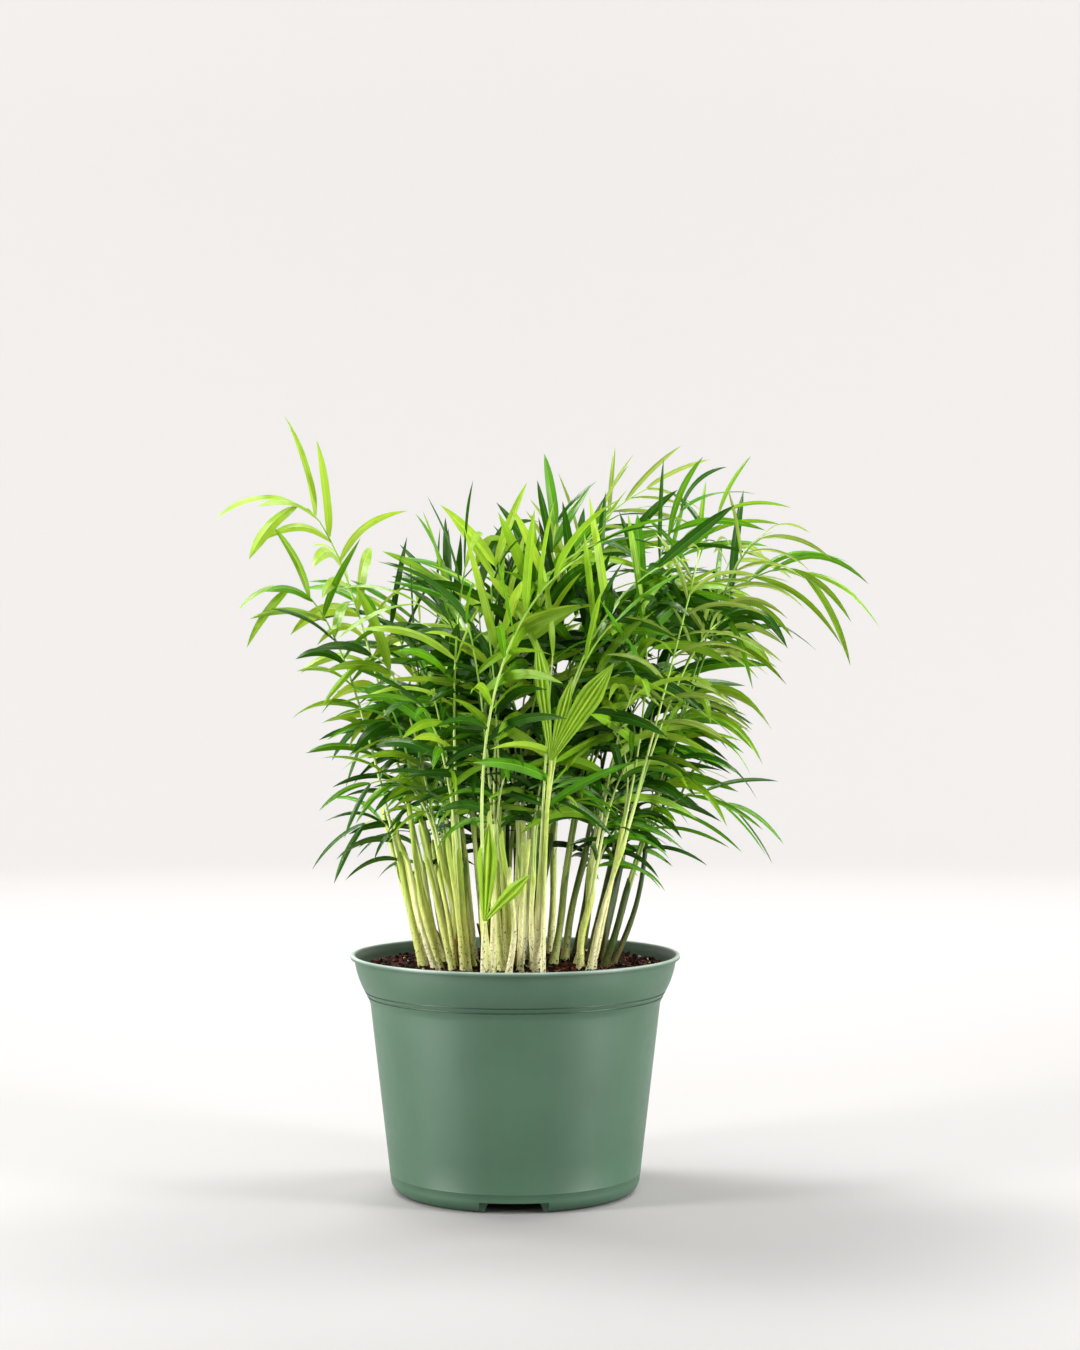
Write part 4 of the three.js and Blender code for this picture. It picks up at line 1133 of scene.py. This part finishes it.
def grow_leaflets(heaps, frond, rib):
    """Leaflets in near pairs up the blade, the last pair broader and set forward."""
    blade = min(BLADE_SHARE * rib.length + BLADE_EXTRA, MOST_BLADE * rib.length)
    blade = frond.blade * rib.length if frond.blade else blade
    pairs = int(clamp(round(blade / LEAFLET_SPACING), FEWEST_PAIRS, MOST_PAIRS))
    ruled = clamp(LEAFLET_LENGTH + LEAFLET_GROWTH * rib.length, SHORTEST_LEAFLET, LONGEST_LEAFLET)
    longest = frond.leaflet or ruled
    low = clamp((frond.tip.z - CROWN_BOTTOM) / CROWN_DEPTH * 1.6, 0, 1)
    first = 1 - blade / rib.length
    for pair in range(pairs):
        share = pair / (pairs - 1)
        for hand in (1, -1):
            seed = frond.index * 31 + pair * 2 + (hand > 0)
            place = lerp(first, LAST_PLACE, share)
            if hand > 0 and share < 1:
                place -= STAGGER * LEAFLET_SPACING / rib.length
            centre, along, side, upper = rib.at(place)
            angle = math.radians(lerp(FIRST_ANGLE, LAST_ANGLE, share) + spread(seed, "angle", ANGLE_SPREAD))
            swell = 0.74 + 0.26 * math.sin(math.pi * (0.15 + 0.75 * share))
            length = longest * swell * (1 + spread(seed, "leaflet", LEAFLET_SPREAD))
            outward = side * hand
            way = along * math.cos(angle) + outward * math.sin(angle)
            way = (way + upper * (BLADE_VEE + spread(seed, "wave", VEE_SPREAD))).normalized()
            sideways = along * math.sin(angle) - outward * math.cos(angle)
            sideways = Matrix.Rotation(spread(seed, "twist", TWIST_SPREAD), 3, way) @ sideways
            hang = frond.hang + LEAST_HANG + LEAFLET_HANG_SPREAD * noise(seed, SERIES["droop"])
            hanging = (way - UP * min(hang, MOST_FOLD / max(way.z, 0.01))).normalized()
            middle = centre + way * length / 2
            line = leaf_line(centre, way, hanging, length)
            if frond.tint != "lime" and (in_the_open(middle) or over_a_gap(line)):
                continue
            width = length * LEAFLET_WIDTH_RATIO * frond.slim
            width *= 1 + spread(seed, "width", LEAFLET_WIDTH_SPREAD)
            width *= END_LEAFLET_WIDTH if pair == pairs - 1 else 1
            width *= lerp(LOW_LEAFLET_WIDTH, 1, low)
            # The colour carries painted light and shade: the frond's place in the crown, and the leaflet's
            # depth in it.
            tint = choose_tint(frond)
            if frond.tint not in ("lime", "olive"):
                tint = leaflet_tint(tint, middle, seed)
            grow_blade(heaps[tint], centre, way, sideways, hanging, length, width, wave=WAVE,
                       twist=spread(seed, "wave", CURL_SPREAD), sickle=spread(seed, "droop", SICKLE))


def soft_leaf(name, blade, through, let_through):
    """Living leaf: a waxy skin over a green blade with a pale midrib, which lets yellow light through."""
    made, tree = new_material(name)
    where = add(tree, "TexCoord").outputs
    mottle = add(tree, "TexNoise", Vector=where["Object"], Scale=1 / (MOTTLE_SIZE * MM), Detail=3)
    darker = [c * 0.72 for c in linear(blade)[:3]] + [1.0]
    green = add(tree, "ValToRGB", {"ramp": [(0.36, darker), (0.6, linear(blade))]}, Fac=mottle)
    side = add(tree, "SeparateXYZ", Vector=where["UV"]).outputs["X"]
    aside = add(tree, "Math", {"operation": "ABSOLUTE"}, values=(side,))
    nerves = [(0.0, 0.75), (0.05, 0.6), (0.11, 0.0), (0.42, 0.0), (0.47, 0.3), (0.52, 0.0)]
    greys = [(at, (grey, grey, grey, 1)) for at, grey in nerves]
    nerved = add(tree, "ValToRGB", {"ramp": greys}, Fac=aside)
    colour = add(tree, "Mix", {"data_type": "RGBA"}, Factor=nerved, A=green, B=linear(through))
    furrows = add(tree, "Math", {"operation": "MULTIPLY"}, values=(side, VEINS))
    furrowed = add(tree, "Math", {"operation": "SINE"}, values=(furrows,))
    relief = add(tree, "Bump", Height=furrowed, Strength=0.25, Distance=VEIN_DEPTH * MM)
    skin = add(tree, "BsdfPrincipled", Base_Color=colour, Roughness=0.26, IOR=1.45,
               Specular_Tint=linear(WAX_GLOSS), Normal=relief)
    glow = add(tree, "BsdfTranslucent", Color=linear(through))
    both = add(tree, "MixShader", values=(let_through, skin, glow))
    add(tree, "OutputMaterial", Surface=both)
    return made


def wiry_stalk(name, pale, green):
    """Stalk and midrib: pale and almost waxy near the sheaths, greener towards the tip."""
    made, tree = new_material(name)
    place = add(tree, "TexCoord").outputs["Object"]
    height = add(tree, "SeparateXYZ", Vector=place).outputs["Z"]
    patches = add(tree, "TexNoise", Vector=place, Scale=1 / (30 * MM), Detail=2)
    climb = add(tree, "MapRange", Value=height, From_Min=STALK_GREENS_FROM * MM,
                From_Max=STALK_GREEN_BY * MM, To_Min=0, To_Max=0.7)
    shade = add(tree, "Math", {"operation": "MULTIPLY_ADD"}, values=(patches, 0.8, climb))
    colour = add(tree, "ValToRGB", {"ramp": [(0.3, linear(pale)), (0.85, linear(green))]}, Fac=shade)
    shader = add(tree, "BsdfPrincipled", Base_Color=colour, Roughness=0.4, IOR=1.42)
    add(tree, "OutputMaterial", Surface=shader)
    return made


stalk_heaps = {colour: Heap() for colour in STALK_COLOURS}
leaf_heaps = {tint: Heap() for tint in LEAF_TINTS}
for frond in plan_fronds():
    rib = Rib(frond)
    # Stalks from the greener stems, and from those painted dark as shade, are green too.
    stalk_colour = "green" if sheath_colour(frond.stem) in ("green", "olive") else "pale"
    grow_stalk(stalk_heaps[stalk_colour], frond, rib)
    if not frond.pleated:
        grow_leaflets(leaf_heaps, frond, rib)
leaf_finishes = {tint: soft_leaf("leaf blade " + tint, *colours) for tint, colours in LEAF_TINTS.items()}
frond_nodes = [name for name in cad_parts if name.startswith("fronds_")]
for colour, heap in stalk_heaps.items():
    finish = wiry_stalk("leaf stalk " + colour, *STALK_COLOURS[colour])
    belong(heap.piece("leaf_stalks_" + colour, finish, sharp=60), "fronds", *frond_nodes)
for tint, heap in leaf_heaps.items():
    belong(heap.piece("leaflets_" + tint, leaf_finishes[tint], sharp=22), "fronds", *frond_nodes)

# The young leaves
# Two leaves that have just opened at the front of the clump. Their leaflets are still joined, so each
# is a pair of pleated lobes in a clear yellow-green, on its own short pale stalk.

YOUNG_LEAVES = [
    dict(foot=(17, -60, 137), root=(21.5, -84, 267), lobes=(
        dict(tip=(13, -94, 338), width=8.5, folds=3),
        dict(tip=(34, -91, 316), width=8, folds=3),
        dict(tip=(58, -96, 324), width=14, folds=5),
    )),
    dict(foot=(-18.5, -64, 138), root=(-17.2, -74, 172), lobes=(
        dict(tip=(-14.5, -84, 230), width=12.5, folds=3),
        dict(tip=(10, -84, 201), width=8, folds=2),
    )),
]
YOUNG_STALK_RADIUS = 1.7
PLEAT = 0.5
LOBE_RISE = 0.12
LOBE_HANG = 0.1


def lobe_width(share):
    """Width of a pleated lobe: a wedge that opens to two thirds of its length, then comes to a point."""
    opening = clamp(share / 0.66, 0, 1)
    closing = clamp((share - 0.66) / 0.34, 0, 1)
    return (0.16 + 0.84 * opening ** 0.85) * (1 - closing ** 1.25) + 0.02


def grow_young_leaf(blade_heap, stalk_heap, leaf):
    """A stalk that rises straight and then leans, and the pleated lobes at its end."""
    foot, root = Vector(leaf["foot"]), Vector(leaf["root"])
    knee = Vector((foot.x, foot.y, lerp(foot.z, root.z, 0.6)))
    centres = [foot.lerp(knee, i / 8).lerp(knee.lerp(root, i / 8), i / 8) for i in range(9)]
    stalk_heap.add(*tube(centres, [YOUNG_STALK_RADIUS * (1 - 0.04 * i) for i in range(9)], 8))
    for lobe in leaf["lobes"]:
        reach = Vector(lobe["tip"]) - root
        way = (reach.normalized() + UP * LOBE_RISE).normalized()
        hanging = (reach.normalized() - UP * LOBE_HANG).normalized()
        sideways = reach.cross(Vector((0, 1, 0))).normalized()
        grow_blade(blade_heap, root, way, sideways, hanging, reach.length, lobe["width"],
                   folds=lobe["folds"], ridge=PLEAT, outline=lobe_width)


young_blades, young_stalks = Heap(), Heap()
for leaf in YOUNG_LEAVES:
    grow_young_leaf(young_blades, young_stalks, leaf)
belong(young_blades.piece("young_leaves", leaf_finishes["lime"], sharp=20), "fronds")
belong(young_stalks.piece("young_stalks", sheaths["pale"], sharp=50), "fronds")

# The studio
# A seamless pale sweep that rises all round, two tall soft lights beside the plant, one above it, one over
# the camera for the floor, and two that light the sweep behind.

SWEEP_FLOOR_RADIUS = 2600
SWEEP_BEND_RADIUS = 1600
SWEEP_HEIGHT = 4200
SWEEP_SIDES = 96
SWEEP_PALE = "#9A9897"
ROOM_WHITE = "#FFFFFF"
ROOM_STRENGTH = 0.07
# Each light: its place, what it is turned to and its width and height, in metres, and its power in watts.
LIGHTS = {
    "left_softbox": ((-0.78, -0.4, 0.46), (0, 0, 0.3), (0.17, 0.88), 12.2),
    "right_softbox": ((0.78, -0.4, 0.46), (0, 0, 0.3), (0.17, 0.88), 11.2),
    "top_softbox": ((-0.25, 0.4, 1.5), (0, 0, 0.3), (0.4, 0.4), 15),
    "front_softbox": ((0, -1.5, 1.4), (0, -0.5, 0), (0.9, 0.6), 7.5),
    "sweep_light_left": ((-1.4, 1.0, 2.6), (-0.8, 3.6, 0.6), (1.4, 1.4), 180),
    "sweep_light_right": ((1.4, 1.0, 2.6), (0.8, 3.6, 0.6), (1.4, 1.4), 180),
}


def make_sweep():
    """A round floor that bends up into a wall, of matt paper with no grain that shows."""
    centre = (SWEEP_FLOOR_RADIUS, SWEEP_BEND_RADIUS)
    section = [(0, 0)] + arc(centre, SWEEP_BEND_RADIUS, -90, 0, 16)
    section += [(SWEEP_FLOOR_RADIUS + SWEEP_BEND_RADIUS, SWEEP_HEIGHT)]
    paper, tree = new_material("matt paper sweep")
    shader = add(tree, "BsdfPrincipled", Base_Color=linear(SWEEP_PALE), Roughness=0.9)
    add(tree, "OutputMaterial", Surface=shader)
    return piece("sweep", *lathe(section, SWEEP_SIDES), paper, sharp=60)


def make_light(name, place, aim, size, power):
    """A soft rectangular light, turned to what it lights."""
    lamp = bpy.data.lights.new(name, "AREA")
    lamp.shape = "RECTANGLE"
    lamp.size, lamp.size_y = size
    lamp.energy = power
    made = bpy.data.objects.new(name, lamp)
    made.location = place
    made.rotation_euler = (Vector(aim) - Vector(place)).to_track_quat("-Z", "Y").to_euler()
    bpy.context.scene.collection.objects.link(made)


make_sweep()
for name, light in LIGHTS.items():
    make_light(name, *light)
world = bpy.data.worlds.new("white room")
world.use_nodes = True
world.node_tree.nodes["Background"].inputs["Color"].default_value = linear(ROOM_WHITE)
world.node_tree.nodes["Background"].inputs["Strength"].default_value = ROOM_STRENGTH
bpy.context.scene.world = world
bpy.context.scene.view_settings.view_transform = "Standard"

# The camera
# Level, at the height of the crown's middle, and as far off as makes the lip and the foot the ellipses
# of the photograph.

CAMERA_LENS = 64.8
CAMERA_SENSOR = 36
CAMERA_REACH = 50
camera = bpy.data.objects.new("camera", bpy.data.cameras.new("camera"))
camera.location = VIEW_FROM * MM
camera.rotation_euler = (math.radians(90), 0, 0)
camera.data.lens = CAMERA_LENS
camera.data.sensor_width = CAMERA_SENSOR
camera.data.clip_end = CAMERA_REACH
bpy.context.scene.collection.objects.link(camera)
bpy.context.scene.camera = camera
